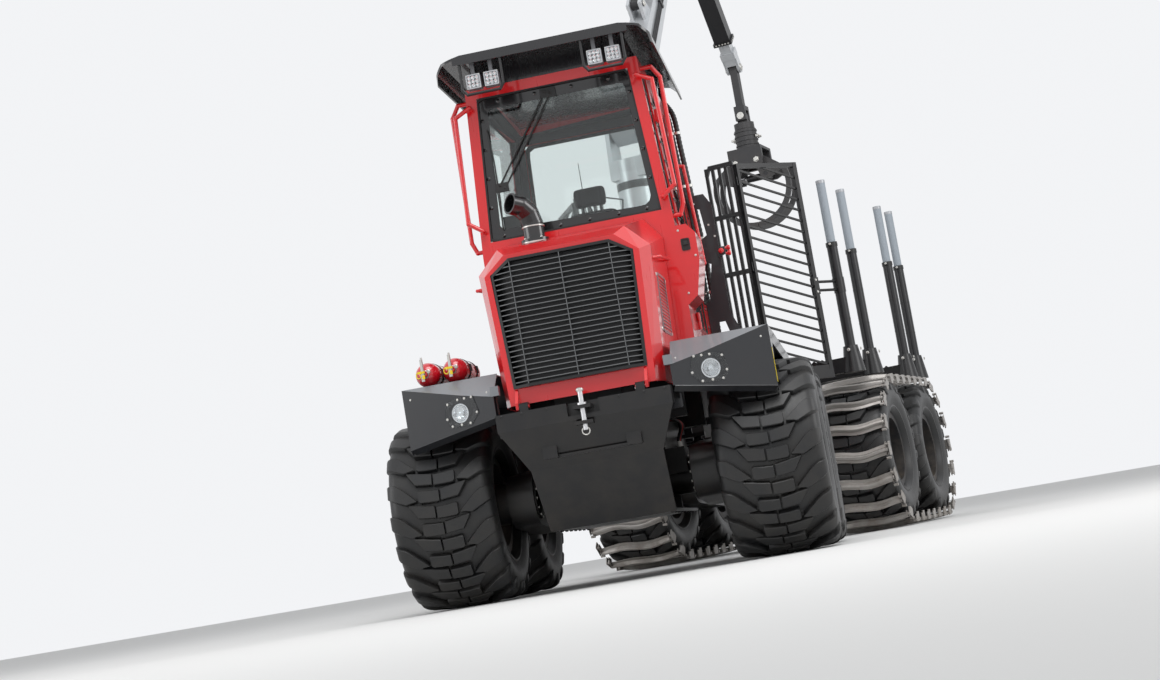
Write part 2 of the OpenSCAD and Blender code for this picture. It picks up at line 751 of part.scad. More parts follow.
module gate() color([0.04, 0.04, 0.05]) swung() {
    sides() {
        // Inner panel with upright bars and a rounded upper corner
        for (i = [0 : 4]) slab(516 + i * 62, 544 + i * 62, 3156, 3184, 1541, 3510);
        for (z = [1541, 2490, 3020]) slab(516, 792, 3150, 3190, z, z + 40);
        slab(560, 792, 3150, 3190, 3490, 3530);
        hull() {
            slab(516, 544, 3150, 3190, 3440, 3450);
            slab(560, 570, 3150, 3190, 3502, 3530);
        }
        // Wing with sloping bars, turned back from the panel's edge
        translate([794, 3170, 0]) rotate([0, 0, 57]) {
            slab(16, 44, -22, 22, 1541, 3500);
            slab(704, 748, -22, 22, 1541, 3500);
            slab(16, 748, -20, 20, 1541, 1581);
            slab(16, 748, -20, 20, 3460, 3500);
            intersection() {
                slab(20, 744, -30, 30, 1541, 3500);
                for (i = [0 : 18]) translate([0, 0, 1790 + i * 104]) rotate([0, 16, 0])
                    slab(-20, 860, -9, 9, -9, 9);
            }
            for (z = [1700, 2500, 3300]) slab(2, 20, -12, 12, z, z + 80);
        }
    }
}

module slew_base() color([0.07, 0.07, 0.08]) swung() {
    slab(-300, 300, crane_y - 260, crane_y + 260, 1300, 1600);
    translate([0, crane_y, 1600]) cylinder(r = 260, h = 200);
    translate([0, crane_y, 1800]) cylinder(r = 90, h = 100);
}

// Crane

module pillar() color([0.5, 0.52, 0.54]) swung() {
    difference() {
        union() {
            translate([0, crane_y, 1800.2]) cylinder(r = 170, h = 1852);
            for (x = [-175, 135]) along_x(x, x + 40)
                polygon([[crane_y - 150, 3500], [crane_y + 150, 3500], [crane_y + 110, pivot_z],
                    [crane_y, pivot_z + 110], [crane_y - 110, pivot_z]]);
            slab(-170, 170, crane_y - 150, crane_y + 150, 3480, 3660);
            for (x = [-75, 45]) along_x(x, x + 30)
                polygon([[crane_y + 100, 2330], [crane_y + 290, 2400], [crane_y + 290, 2500],
                    [crane_y + 100, 2560]]);
        }
        translate([0, crane_y, 1790]) cylinder(r = 90.2, h = 120);
        bar_x(-200, 200, crane_y, pivot_z, 45);
        bar_x(-200, 200, crane_y + 230, 2450, 30.5);
    }
}

module main_boom() color([0.75, 0.77, 0.79]) swung() {
    crane_at(crane_y, pivot_z, boom_rise) {
        bar_x(-185, 185, 0, 0, 44.8);
        difference() {
            union() {
                along_x(-105, 105)
                    polygon([[-120, -90], [300, -190], [1250, -160], [boom_len - 260, -110],
                        [boom_len - 260, 58], [boom_len - 322, 101], [1250, 150], [200, 190], [-120, 90]]);
                bar_x(-125, 125, 0, 0, 100);
            }
        }
        // Fork for the outer boom
        for (x = [-130, 95]) difference() {
            union() {
                slab(x, x + 35, boom_len - 400, boom_len, -110, 110);
                bar_x(x, x + 35, boom_len, 0, 110);
            }
            bar_x(x - 1, x + 36, boom_len, 0, 40);
        }
        along_x(-130, 130) translate([boom_len, 0])
            polygon([[-420, -112], [-260, -112], [-260, 58], [-322, 102], [-420, 102]]);
        // Lift cylinder ears
        for (x = [-75, 45]) difference() {
            along_x(x, x + 30) polygon([[700, -150], [1040, -150], [930, -350], [810, -350]]);
            bar_x(x - 1, x + 31, 870, -290, 30.5);
        }
        // Jib cylinder ears
        for (x = [-75, 45]) difference() {
            along_x(x, x + 30) polygon([[1500, 90], [1740, 90], [1680, 320], [1560, 320]]);
            bar_x(x - 1, x + 31, 1620, 260, 30.5);
        }
    }
}

module outer_boom() color([0.04, 0.04, 0.05]) swung() {
    crane_at(elbow_y, elbow_z, -jib_drop) {
        bar_x(-125, 125, 0, 0, 39.8);
        difference() {
            union() {
                bar_x(-88, 88, 0, 0, 85);
                slab(-88, 88, 0, jib_len - 330, -80, 80);
                // Ears for the jib cylinder
                for (x = [-88, 50]) along_x(x, x + 38)
                    polygon([[-40, -75], [-370, 80], [-370, 150], [-300, 165], [0, 85]]);
            }
            slab(-60.3, 60.3, 300, jib_len, -70.3, 70.3);
            bar_x(-90, 90, jib_ear[0], jib_ear[1], 30.5);
        }
    }
}

module extension() color([0.7, 0.72, 0.74]) swung() {
    crane_at(elbow_y, elbow_z, -jib_drop) {
        difference() {
            union() {
                slab(-60, 60, 320, jib_len - 60, -70, 70);
                for (x = [-80, 50]) {
                    slab(x, x + 30, jib_len - 200, jib_len, -60, 60);
                    bar_x(x, x + 30, jib_len, 0, 60);
                }
                slab(-80, 80, jib_len - 220, jib_len - 140, -75, 75);
            }
            bar_x(-90, 90, jib_len, 0, 30.5);
        }
    }
}

module swing_link() color([0.05, 0.05, 0.06]) swung() {
    translate([0, tip_y, tip_z]) {
        bar_x(-80, 80, 0, 0, 30);
        bar_x(-44, 44, 0, 0, 55);
        slab(-40, 40, -50, 50, -460, 0);
        difference() {
            slab(-60, 60, -85, 85, -600, -440);
            slab(-61, 61, -45, 45, -601, -490);
            bar_y(0, -90, 90, -550, 30.5);
        }
    }
}

module sway_block() color([0.08, 0.08, 0.09]) swung() {
    translate([0, tip_y, tip_z]) {
        bar_y(0, -85, 85, -550, 30);
        bar_y(0, -40, 40, -550, 55);
        slab(-55, 55, -40, 40, -640, -560);
        translate([0, 0, -700]) cylinder(r = 110, h = 70);
        translate([0, 0, -760]) cylinder(r = 60, h = 70);
    }
}

module rotator() color([0.1, 0.1, 0.11]) swung() {
    translate([0, tip_y, tip_z]) {
        difference() {
            union() {
                translate([0, 0, -940]) cylinder(r = 120, h = 235);
                for (z = [-935, -885, -835, -785, -735]) translate([0, 0, z]) cylinder(r = 128, h = 14);
            }
            translate([0, 0, -800]) cylinder(r = 61, h = 100);
        }
        difference() {
            slab(-190, 190, -200, 200, -1140, -930);
            slab(-191, 191, -150, 150, -1141, -960);
            for (x = [-120, 120]) bar_y(x, -201, 201, -1085, 30.5);
        }
    }
}

// Grapple jaw on the +X side, about its pin, in (x, z)
module jaw_shape() {
    difference() {
        union() {
            difference() {
                circle(r = 440);
                circle(r = 385);
                translate([-500, -500]) square([503, 1000]);
                translate([-500, 150]) square([1000, 500]);
            }
            polygon([[350, 130], [415, 150], [180, 330], [100, 330], [70, 270], [130, 75], [230, 75]]);
        }
        translate([120, 285]) circle(r = 30);
        translate([180, 120]) circle(r = 25.5);
    }
}

module jaw_body(y0, y1) {
    for (y = [y0, y1 - 40]) along_y(y, y + 40) jaw_shape();
    bar_y(120, y0 - 58, y1 + 58, 285, 30.2);
    along_y(y0, y1) difference() {
        circle(r = 440);
        circle(r = 420);
        translate([-500, -500]) square([503, 1000]);
        translate([-500, -250]) square([1000, 1000]);
    }
}

module jaw_a() color([0.08, 0.08, 0.09]) swung() {
    translate([0, tip_y, tip_z - 1370]) jaw_body(-140, 140);
}

module jaw_b() color([0.08, 0.08, 0.09]) swung() {
    translate([0, tip_y, tip_z - 1370]) mirror([1, 0, 0]) jaw_body(-140, 140);
}

// Cylinders: barrel from eye a towards b, rod out of it to eye b
module barrel(len, r, rod_r) {
    difference() {
        union() {
            slab(-40, 40, 0, 130, -32, 32);
            bar_x(-40, 40, 0, 0, 45);
            bar_x(-82, 82, 0, 0, 30.2);
            bar_y(0, 120, len, 0, r);
            bar_y(0, len - 90, len, 0, r + 8);
        }
        bar_y(0, 160, len + 1, 0, rod_r + 0.25);
    }
}

module piston(from, len, r) {
    bar_y(0, from, len - 40, 0, r);
    bar_x(-40, 40, len, 0, 45);
}

// Angle of the line between two pins in the (y, z) plane
function aim(a, b) = atan2(b[1] - a[1], b[0] - a[0]);

lift_a = [crane_y + 230, 2450];
jib_ear = [340 * cos(160), 340 * sin(160)];
lift_b = [crane_y + 870 * cos(boom_rise) + 290 * sin(boom_rise),
    pivot_z + 870 * sin(boom_rise) - 290 * cos(boom_rise)];
jib_a = [crane_y + 1620 * cos(boom_rise) - 260 * sin(boom_rise),
    pivot_z + 1620 * sin(boom_rise) + 260 * cos(boom_rise)];
jib_b = [elbow_y + jib_ear[0] * cos(jib_drop) + jib_ear[1] * sin(jib_drop),
    elbow_z - jib_ear[0] * sin(jib_drop) + jib_ear[1] * cos(jib_drop)];

module lift_barrel() color([0.2, 0.2, 0.2]) swung()
    crane_at(lift_a[0], lift_a[1], aim(lift_a, lift_b)) barrel(1150, 75, 40);
module lift_rod() color([0.8, 0.8, 0.82]) swung()
    crane_at(lift_a[0], lift_a[1], aim(lift_a, lift_b))
        piston(780, norm(lift_b - lift_a), 40);
module jib_barrel() color([0.2, 0.2, 0.2]) swung()
    crane_at(jib_a[0], jib_a[1], aim(jib_a, jib_b)) barrel(1500, 65, 34);
module jib_rod() color([0.8, 0.8, 0.82]) swung()
    crane_at(jib_a[0], jib_a[1], aim(jib_a, jib_b)) piston(640, norm(jib_b - jib_a), 34);

// Steering cylinders lie level between the frames
function steer_far(side) = [
    side * steer_eye[0] * cos(rest_steer) + (steer_eye[1] - hinge_y) * sin(rest_steer),
    hinge_y - side * steer_eye[0] * sin(rest_steer) + (steer_eye[1] - hinge_y) * cos(rest_steer)];
function steer_near(side) = [side * steer_pin[0], steer_pin[1]];

module steer_line(side) {
    a = steer_near(side);
    placed() translate([a[0], a[1], steer_z])
        rotate([0, 0, aim(a, steer_far(side)) - 90]) rotate([0, 90, 0]) children();
}

module steer_barrel_left() color([0.2, 0.2, 0.2]) steer_line(1) barrel(790, 55, 28);
module steer_barrel_right() color([0.2, 0.2, 0.2]) steer_line(-1) barrel(790, 55, 28);
module steer_rod_left() color([0.8, 0.8, 0.82])
    steer_line(1) piston(372, norm(steer_far(1) - steer_near(1)), 28);
module steer_rod_right() color([0.8, 0.8, 0.82])
    steer_line(-1) piston(558, norm(steer_far(-1) - steer_near(-1)), 28);

// Grapple cylinder lies across between the jaws
module grapple_barrel() color([0.2, 0.2, 0.2]) swung()
    translate([0, tip_y, tip_z - 1250]) difference() {
        union() {
            bar_y(180, -94, 94, 0, 35);
            bar_y(180, -138, 138, 0, 25.2);
            bar_x(-70, 170, 0, 0, 38);
        }
        bar_x(-71, 120, 0, 0, 24.25);
    }
module grapple_rod() color([0.8, 0.8, 0.82]) swung()
    translate([0, tip_y, tip_z - 1250]) {
        bar_y(-180, -94, 94, 0, 35);
        bar_x(-160, 100, 0, 0, 24);
    }

front_chassis();
engine_block();
front_bogies();
fenders();
fender_lamps();
lamp_covers();
tow_pin();
extinguishers();
cab_steps();
cab_shell();
cab_roof();
roof_lamps();
cab_glass();
guard_tubes();
lamp_guards();
seat();
controls();
tyre_left_1();
tyre_left_2();
tyre_right_1();
tyre_right_2();
rim_left_1();
rim_left_2();
rim_right_1();
rim_right_2();
door_frame();
door_glass();
hood_shell();
grille();
exhaust();
rear_chassis();
rear_bogies();
rear_tyres();
rear_rims();
track_left();
track_right();
bunks();
stakes();
stake_tips();
gate();
slew_base();
pillar();
main_boom();
outer_boom();
extension();
swing_link();
sway_block();
rotator();
jaw_a();
jaw_b();
lift_barrel();
lift_rod();
jib_barrel();
jib_rod();
steer_barrel_left();
steer_barrel_right();
steer_rod_left();
steer_rod_right();
grapple_barrel();
grapple_rod();
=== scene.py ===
import math
import bpy
import numpy as np
from mathutils import Matrix, Vector


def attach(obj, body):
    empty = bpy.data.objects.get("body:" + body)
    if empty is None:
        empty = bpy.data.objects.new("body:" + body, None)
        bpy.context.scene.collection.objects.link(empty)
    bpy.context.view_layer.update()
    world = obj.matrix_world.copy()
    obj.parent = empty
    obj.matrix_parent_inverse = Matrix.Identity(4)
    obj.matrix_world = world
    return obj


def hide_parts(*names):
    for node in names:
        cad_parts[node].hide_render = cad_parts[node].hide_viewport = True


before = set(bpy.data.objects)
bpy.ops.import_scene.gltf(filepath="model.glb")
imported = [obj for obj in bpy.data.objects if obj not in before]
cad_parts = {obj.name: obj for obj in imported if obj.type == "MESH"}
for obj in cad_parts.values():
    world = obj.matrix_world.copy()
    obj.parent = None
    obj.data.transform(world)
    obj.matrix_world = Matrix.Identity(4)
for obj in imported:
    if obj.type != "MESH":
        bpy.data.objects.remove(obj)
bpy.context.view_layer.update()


# Camera
# The photographer stood low and a little to the machine's left. The machine leans on a slope there and
# stands level here, so the camera is rolled about its own line of sight instead.
def add_object(name, data):
    """New object at the scene's origin."""
    thing = bpy.data.objects.new(name, data)
    bpy.context.scene.collection.objects.link(thing)
    return thing


camera_place = (1.3266, -17.3838, 0.20)
yaw, pitch, roll = math.radians(8.12), math.radians(6.38), math.radians(-9.6)
ahead = np.array((-math.sin(yaw) * math.cos(pitch), math.cos(yaw) * math.cos(pitch), math.sin(pitch)))
level = np.array((math.cos(yaw), math.sin(yaw), 0.0))
upward = np.cross(level, ahead)
side = math.cos(roll) * level + math.sin(roll) * upward
crown = -math.sin(roll) * level + math.cos(roll) * upward
camera = add_object("camera", bpy.data.cameras.new("camera"))
picture_width, focal_pixels = 1160.0, 1936.0
camera.data.sensor_width = 36.0
camera.data.lens = focal_pixels / picture_width * camera.data.sensor_width
camera.data.clip_end = 400.0
turn = np.column_stack([side, crown, -ahead, camera_place])
camera.matrix_world = Matrix(np.vstack([turn, (0, 0, 0, 1)]).tolist())
bpy.context.scene.camera = camera
bpy.context.scene.view_settings.view_transform = "Standard"


# Floor and light
# A wide pale studio floor under a pale surround, one large soft lamp high in front and two weaker ones at
# the sides, as under an overcast sky.
def set_inputs(tree, node, *values, **named):
    """Fills a node's inputs in order and by name, _ for a space: numbers are set, outputs are linked."""
    inputs = [*enumerate(values), *((key.replace("_", " "), value) for key, value in named.items())]
    for key, value in inputs:
        if isinstance(value, bpy.types.NodeSocket):
            tree.links.new(value, node.inputs[key])
        else:
            node.inputs[key].default_value = value


def add_node(tree, kind, *values, out=0, **named):
    """New shader node; lower-case names are its settings, the rest inputs. Gives one output, or all."""
    node = tree.nodes.new("ShaderNode" + kind)
    for key in [key for key in named if key[0].islower()]:
        setattr(node, key, named.pop(key))
    set_inputs(tree, node, *values, **named)
    return node.outputs if out == "all" else node.outputs[out]


def new_material(name):
    """Material and its node tree, which starts with one Principled shader."""
    material = bpy.data.materials.new(name)
    material.use_nodes = True
    return material, material.node_tree


floor_mesh = bpy.data.meshes.new("floor")
floor_mesh.from_pydata([(-90, -60, 0), (90, -60, 0), (90, 120, 0), (-90, 120, 0)], [], [(0, 1, 2, 3)])
floor = add_object("floor", floor_mesh)
floor_paint, tree = new_material("studio_floor")
set_inputs(tree, tree.nodes["Principled BSDF"], Base_Color=(0.80, 0.80, 0.79, 1), Roughness=0.9)
floor_mesh.materials.append(floor_paint)

world = bpy.data.worlds.new("studio")
bpy.context.scene.world = world
world.use_nodes = True
tree = world.node_tree
rays = add_node(tree, "LightPath", out="all")
seen = add_node(tree, "Math", rays["Is Camera Ray"], rays["Is Glossy Ray"], operation="MAXIMUM")
seen = add_node(tree, "Math", seen, rays["Is Transmission Ray"], operation="MAXIMUM")
strength = add_node(tree, "MapRange", seen, To_Min=0.55, To_Max=0.92)
set_inputs(tree, tree.nodes["Background"], Color=(0.97, 0.98, 1.0, 1), Strength=strength)

for name, place, aim_at, size, power in (("sky_lamp", (2.0, -9.0, 12.0), (0, -1, 1.5), 9.0, 900),
                                         ("left_lamp", (12.0, -4.0, 6.0), (0, -1, 2.0), 6.0, 380),
                                         ("right_lamp", (-11.0, -8.0, 5.0), (0, -1, 1.5), 6.0, 260)):
    lamp = add_object(name, bpy.data.lights.new(name, "AREA"))
    lamp.data.shape, lamp.data.size, lamp.data.energy = "DISK", size, power
    lamp.location = place
    lamp.rotation_euler = (Vector(aim_at) - Vector(place)).to_track_quat("-Z", "Y").to_euler()


# Painted steelwork
# Frames, bogies and stakes are welded steel with two-coat machine paint. Forest dirt sits low down and on
# ledges, rain leaves streaks, and the paint keeps a faint orange peel.
def forest_dirt_group():
    """Mask = amount x (height falloff + share of upward faces) x cloud patches; also grain and streaks."""
    tree = bpy.data.node_groups.new("forest_dirt", "ShaderNodeTree")
    for label, value in (("Amount", 0.5), ("Top", 1.8), ("Scale", 5.0)):
        socket = tree.interface.new_socket(name=label, in_out="INPUT", socket_type="NodeSocketFloat")
        socket.default_value = value
    for label in ("Mask", "Grain", "Streaks"):
        tree.interface.new_socket(name=label, in_out="OUTPUT", socket_type="NodeSocketFloat")
    given = tree.nodes.new("NodeGroupInput").outputs
    where = add_node(tree, "TexCoord", out="Object")
    height = add_node(tree, "SeparateXYZ", where, out="Z")
    fall = add_node(tree, "MapRange", height, From_Min=0.1, From_Max=given["Top"], To_Min=1.0, To_Max=0.12)
    cloud = add_node(tree, "TexNoise", where, Scale=given["Scale"], Detail=9.0, Roughness=0.62, out="Fac")
    patch = add_node(tree, "MapRange", cloud, From_Min=0.38, From_Max=0.68)
    facing = add_node(tree, "SeparateXYZ", add_node(tree, "NewGeometry", out="Normal"), out="Z")
    ledge = add_node(tree, "MapRange", facing, From_Min=0.3, From_Max=1.0, To_Max=0.5)
    share = add_node(tree, "Math", fall, ledge, operation="ADD")
    both = add_node(tree, "Math", share, patch, operation="MULTIPLY")
    mask = add_node(tree, "Math", both, given["Amount"], operation="MULTIPLY", use_clamp=True)
    grain = add_node(tree, "TexNoise", where, Scale=420.0, Detail=3.0, out="Fac")
    stretch = add_node(tree, "Mapping", where, Scale=(14.0, 14.0, 1.1))
    streaks = add_node(tree, "TexNoise", stretch, Scale=3.0, Detail=6.0, out="Fac")
    set_inputs(tree, tree.nodes.new("NodeGroupOutput"), Mask=mask, Grain=grain, Streaks=streaks)
    return tree


forest_dirt = forest_dirt_group()


def machine_paint(name, colour, roughness, coat=0.0, dirt=0.35, dirt_top=1.6, metal=0.0,
                  dirt_colour=(0.16, 0.125, 0.09), grain=0.02, streak=0.25):
    """Colour = paint mixed towards dirt by the mask; roughness rises with dirt and with the streaks."""
    material, tree = new_material(name)
    effect = add_node(tree, "Group", node_tree=forest_dirt, Amount=dirt, Top=dirt_top, out="all")
    mixed = add_node(tree, "Mix", data_type="RGBA", Factor=effect["Mask"], A=(*colour, 1), B=(*dirt_colour, 1),
                     out="Result")
    dull = add_node(tree, "Math", effect["Streaks"], streak, effect["Mask"], operation="MULTIPLY_ADD",
                    use_clamp=True)
    bump = add_node(tree, "Bump", Strength=grain, Distance=0.002, Height=effect["Grain"])
    set_inputs(tree, tree.nodes["Principled BSDF"], Base_Color=mixed, Metallic=metal, Normal=bump,
               Roughness=add_node(tree, "MapRange", dull, To_Min=roughness, To_Max=0.85),
               Coat_Weight=coat, Coat_Roughness=0.06)
    return material


def wear(material, *names):
    """Gives CAD nodes one finish."""
    for name in names:
        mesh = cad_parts[name].data
        mesh.materials.clear()
        mesh.materials.append(material)


frame_black = machine_paint("frame_black", (0.009, 0.009, 0.010), 0.26, dirt=0.13)
wear(frame_black, "front_chassis", "rear_chassis", "bunks", "slew_base", "gate", "front_bogies", "rear_bogies")
wear(machine_paint("stake_black", (0.012, 0.012, 0.014), 0.25, dirt=0.2), "stakes")
wear(machine_paint("tip_grey", (0.33, 0.37, 0.41), 0.5, dirt=0.15, streak=0.5), "stake_tips")
fender_charcoal = machine_paint("fender_charcoal", (0.014, 0.015, 0.018), 0.24, coat=0.35, dirt=0.09,
                                dirt_top=1.4)
wear(fender_charcoal, "fenders", "cab_steps")

# Red cab, hood and guards
# Sheet steel panels, folded and welded, in bright red gloss paint with clear coat. The guard tubes stand
# off the cab's corners and are painted with it.
body_red = machine_paint("body_red", (0.70, 0.006, 0.010), 0.22, coat=0.8, dirt=0.05, dirt_top=2.0,
                         grain=0.008)
wear(body_red, "cab_shell", "door_frame", "hood_shell", "guard_tubes")

# Roof and visor
# Black moulded roof with a deep visor over the windscreen, glossy with clear coat. Bent black tubes are
# bolted round the lamps under it.
wear(machine_paint("roof_black", (0.012, 0.012, 0.014), 0.18, coat=0.5, dirt=0.04, dirt_top=3.0), "cab_roof")
wear(machine_paint("tube_black", (0.01, 0.01, 0.011), 0.3, dirt=0.05), "lamp_guards")


# Glass
# Thick polycarbonate panes, faintly grey, with hairline wiper marks, clamped in the cab's frames. The
# headlamps' covers are cut from clearer sheet.
def clear_pane(name, tint, roughness):
    """Full transmission with a faint tint; roughness = base plus stretched noise for wiper marks."""
    material, tree = new_material(name)
    streaks = add_node(tree, "Group", node_tree=forest_dirt, Amount=0.1, out="Streaks")
    spread = add_node(tree, "MapRange", streaks, To_Min=roughness, To_Max=roughness + 0.05)
    set_inputs(tree, tree.nodes["Principled BSDF"], Base_Color=(*tint, 1), Transmission_Weight=1.0, IOR=1.45,
               Roughness=spread)
    return material


wear(clear_pane("cab_pane", (0.86, 0.91, 0.90), 0.0), "cab_glass", "door_glass")
wear(clear_pane("lamp_cover_clear", (0.93, 0.95, 0.96), 0.03), "lamp_covers")

# Inside the cab
# Seat base, armrest consoles and dashboard are moulded in dark grey plastic with a dull face, and screwed
# to the cab's floor.
wear(machine_paint("cab_trim", (0.03, 0.03, 0.033), 0.6, dirt=0.0), "controls")
wear(machine_paint("seat_base", (0.02, 0.02, 0.022), 0.7, dirt=0.0), "seat")

# Lamps
# Square work lamps under the visor and round headlamps in the fenders, with cast housings in grey coat.
# Their bowls, bezels and lenses are fitted further down.
wear(machine_paint("lamp_housing", (0.16, 0.16, 0.17), 0.4, dirt=0.0), "roof_lamps", "fender_lamps")

# Engine side
# Folded grille slats in black coat, and a bent exhaust elbow in glossy black. The engine behind the grille
# is a plain cast block in dark grey.
wear(machine_paint("grille_black", (0.008, 0.008, 0.009), 0.35, dirt=0.0), "grille")
wear(machine_paint("engine_grey", (0.06, 0.06, 0.065), 0.6, dirt=0.4), "engine_block")
wear(machine_paint("exhaust_black", (0.012, 0.012, 0.013), 0.16, coat=0.6, dirt=0.02), "exhaust")

# Small fittings
# Extinguisher bottles are drawn steel in red gloss. Tow pin and cylinder rods are ground and plated bright
# steel, which stays clean.
wear(machine_paint("bottle_red", (0.62, 0.008, 0.02), 0.15, coat=1.0, dirt=0.0), "extinguishers")
wear(machine_paint("bright_steel", (0.72, 0.72, 0.73), 0.22, metal=1.0, dirt=0.0), "tow_pin", "lift_rod",
     "jib_rod", "steer_rod_left", "steer_rod_right", "grapple_rod")

# Wheels
# Forestry tyres in black rubber on dark pressed rims, with dust low down. The band tracks behind are cast
# steel, worn bright.
tyre_rubber = machine_paint("tyre_rubber", (0.011, 0.0115, 0.0125), 0.35, dirt=0.17, dirt_top=1.4, grain=0.2,
                            dirt_colour=(0.10, 0.085, 0.065))
wear(tyre_rubber, "tyre_left_1", "tyre_left_2", "tyre_right_1", "tyre_right_2", "rear_tyres")
wear(machine_paint("rim_black", (0.02, 0.02, 0.022), 0.4, dirt=0.5), "rim_left_1", "rim_left_2",
     "rim_right_1", "rim_right_2", "rear_rims")
track_steel = machine_paint("track_steel", (0.42, 0.40, 0.38), 0.38, metal=0.8, dirt=0.5, streak=0.4)
wear(track_steel, "track_left", "track_right")


# Tyres
# Wide forestry tyres on a smooth-walled casing. Each row of the tread has a centre block, an inner block and
# a shoulder lug that runs down the wall; the next row is its mirror image. Moulded in one.
frame_middle, hinge_y, rest_swing = (551.394, 2899.841, 0), 1950, math.radians(13)
tyre_r, wheel_x, wheel_y, rear_y, rear_z = 680, 1150, 750, 5450, 740
wheel_places = {"left_1": (wheel_x, -wheel_y), "left_2": (wheel_x, wheel_y),
                "right_1": (-wheel_x, -wheel_y), "right_2": (-wheel_x, wheel_y)}


def front_spot(points):
    """Source millimetres on the front frame to the scene's metres."""
    return (np.asarray(points, float) - frame_middle) / 1000


def swung(x, y):
    """Turns a place about the hinge by the rest angle."""
    c, s = math.cos(rest_swing), math.sin(rest_swing)
    return c * x + s * (y - hinge_y), hinge_y - s * x + c * (y - hinge_y)


def rear_spot(points):
    """Source millimetres on the swung rear frame to the scene's metres."""
    x, y, z = np.moveaxis(np.asarray(points, float), -1, 0)
    return front_spot(np.stack([*swung(x, y), z], -1))


def grid_faces(rows, columns, wrap_rows=False, wrap_columns=False):
    """Quads of a grid of points numbered row by row; a wrapped direction joins its last line to its first."""
    i, j = np.mgrid[:rows - (not wrap_rows), :columns - (not wrap_columns)]
    i2, j2 = (i + 1) % rows, (j + 1) % columns
    quads = np.stack([i * columns + j, i2 * columns + j, i2 * columns + j2, i * columns + j2], -1)
    return [tuple(q) for q in quads.reshape(-1, 4).tolist()]


def outward(points, faces):
    """Turns all faces of a closed skin over where its signed volume is negative."""
    fans = np.array([(f[0], f[i], f[i + 1]) for f in faces for i in range(1, len(f) - 1)])
    a, b, c = points[fans[:, 0]], points[fans[:, 1]], points[fans[:, 2]]
    return faces if np.einsum("ij,ij->", a, np.cross(b, c)) > 0 else [f[::-1] for f in faces]


def lathe(profile, segments=96):
    """Revolves (x, radius) points about the X axis: y = -r sin a, z = r cos a."""
    angle = np.linspace(0, 2 * math.pi, segments, endpoint=False)
    x, r = np.array(profile, float).T
    points = np.stack([np.broadcast_to(x, (segments, len(x))), -np.outer(np.sin(angle), r),
                       np.outer(np.cos(angle), r)], 2).reshape(-1, 3)
    return points, outward(points, grid_faces(segments, len(x), True, True))


def loft(rings):
    """Skin over closed rings (stations x corners x 3); each end is closed by a fan about its middle."""
    rings = np.asarray(rings, float)
    stations, corners = rings.shape[:2]
    faces = grid_faces(stations, corners, False, True)
    last = (stations - 1) * corners
    for k in range(corners):
        step = (k + 1) % corners
        faces += [(stations * corners, step, k), (stations * corners + 1, last + k, last + step)]
    points = np.vstack([rings.reshape(-1, 3), rings[0].mean(0), rings[-1].mean(0)])
    return points, outward(points, faces)


def moved(part, place):
    """Copy of a part moved by millimetres."""
    return part[0] + np.array(place, float), part[1]


def piece(name, parts, material, body="front_frame", smooth=0.6):
    """One mesh on a CAD body from parts in source millimetres of the frame that carries the body."""
    spot = front_spot if body.startswith(("front", "door", "hood", "wheel", "steer")) else rear_spot
    faces, start = [], 0
    for points, part in parts:
        faces += [tuple(i + start for i in f) for f in part]
        start += len(points)
    mesh = bpy.data.meshes.new(name)
    mesh.from_pydata(spot(np.vstack([points for points, part in parts])).tolist(), [], faces)
    mesh.polygons.foreach_set("use_smooth", [True] * len(mesh.polygons))
    mesh.set_sharp_from_angle(angle=smooth)
    mesh.materials.append(material)
    thing = add_object(name, mesh)
    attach(thing, body)
    return thing


# Tread surface by the distance from the middle line: half-width and radius of lug tops and of their feet
tread_run = [0, 100, 200, 300, 330, 355, 380, 410, 440]
top_line = [(0, 680), (100, 679), (200, 675), (300, 667), (328, 659), (350, 644), (364, 622), (372, 592),
            (374, 562)]
foot_line = [(0, 636), (100, 635), (200, 632), (300, 626), (322, 619), (340, 604), (350, 590), (358, 570),
             (362, 552)]
# Each element as stations (run, upper edge, lower edge); edges are millimetres round the tread
tread_elements = ([(14, -40, 40), (-60, -44, 40), (-120, -52, 38), (-133, -46, 26)],
                  [(28, -46, 36), (90, -56, 29), (150, -68, 21), (206, -78, -66)],
                  [(150, -104, -97), (190, -146, -91), (228, -182, -84), (262, -215, -101), (300, -242, -121),
                   (330, -250, -136), (355, -254, -147), (380, -258, -158), (410, -256, -170),
                   (440, -246, -186)])
tread_rows = 18


def tread_element(stations, side):
    """Six-cornered rings across a lug: foot, chamfer and top on each edge, wrapped onto the tread surface."""
    rings = []
    for run, upper, lower in stations:
        top, foot = ([np.interp(abs(run), tread_run, [p[k] for p in line]) for k in (0, 1)]
                     for line in (top_line, foot_line))
        bevel = min(4, (lower - upper) / 3)
        ring = []
        for edge, drop in ((upper - 7, 1), (upper - 1, 0.12), (upper + bevel, 0), (lower - bevel, 0),
                           (lower + 1, 0.12), (lower + 7, 1)):
            width, radius = (top[k] + (foot[k] - top[k]) * drop for k in (0, 1))
            ring.append((side * math.copysign(width, run), -radius * math.sin(edge / tyre_r),
                         radius * math.cos(edge / tyre_r)))
        rings.append(ring)
    return loft(rings)


def turned(part, angle):
    """Copy of a part turned about the X axis, in the sense of rolling forward."""
    (x, y, z), faces = part[0].T, part[1]
    c, s = math.cos(angle), math.sin(angle)
    return np.stack([x, c * y - s * z, s * y + c * z], 1), faces


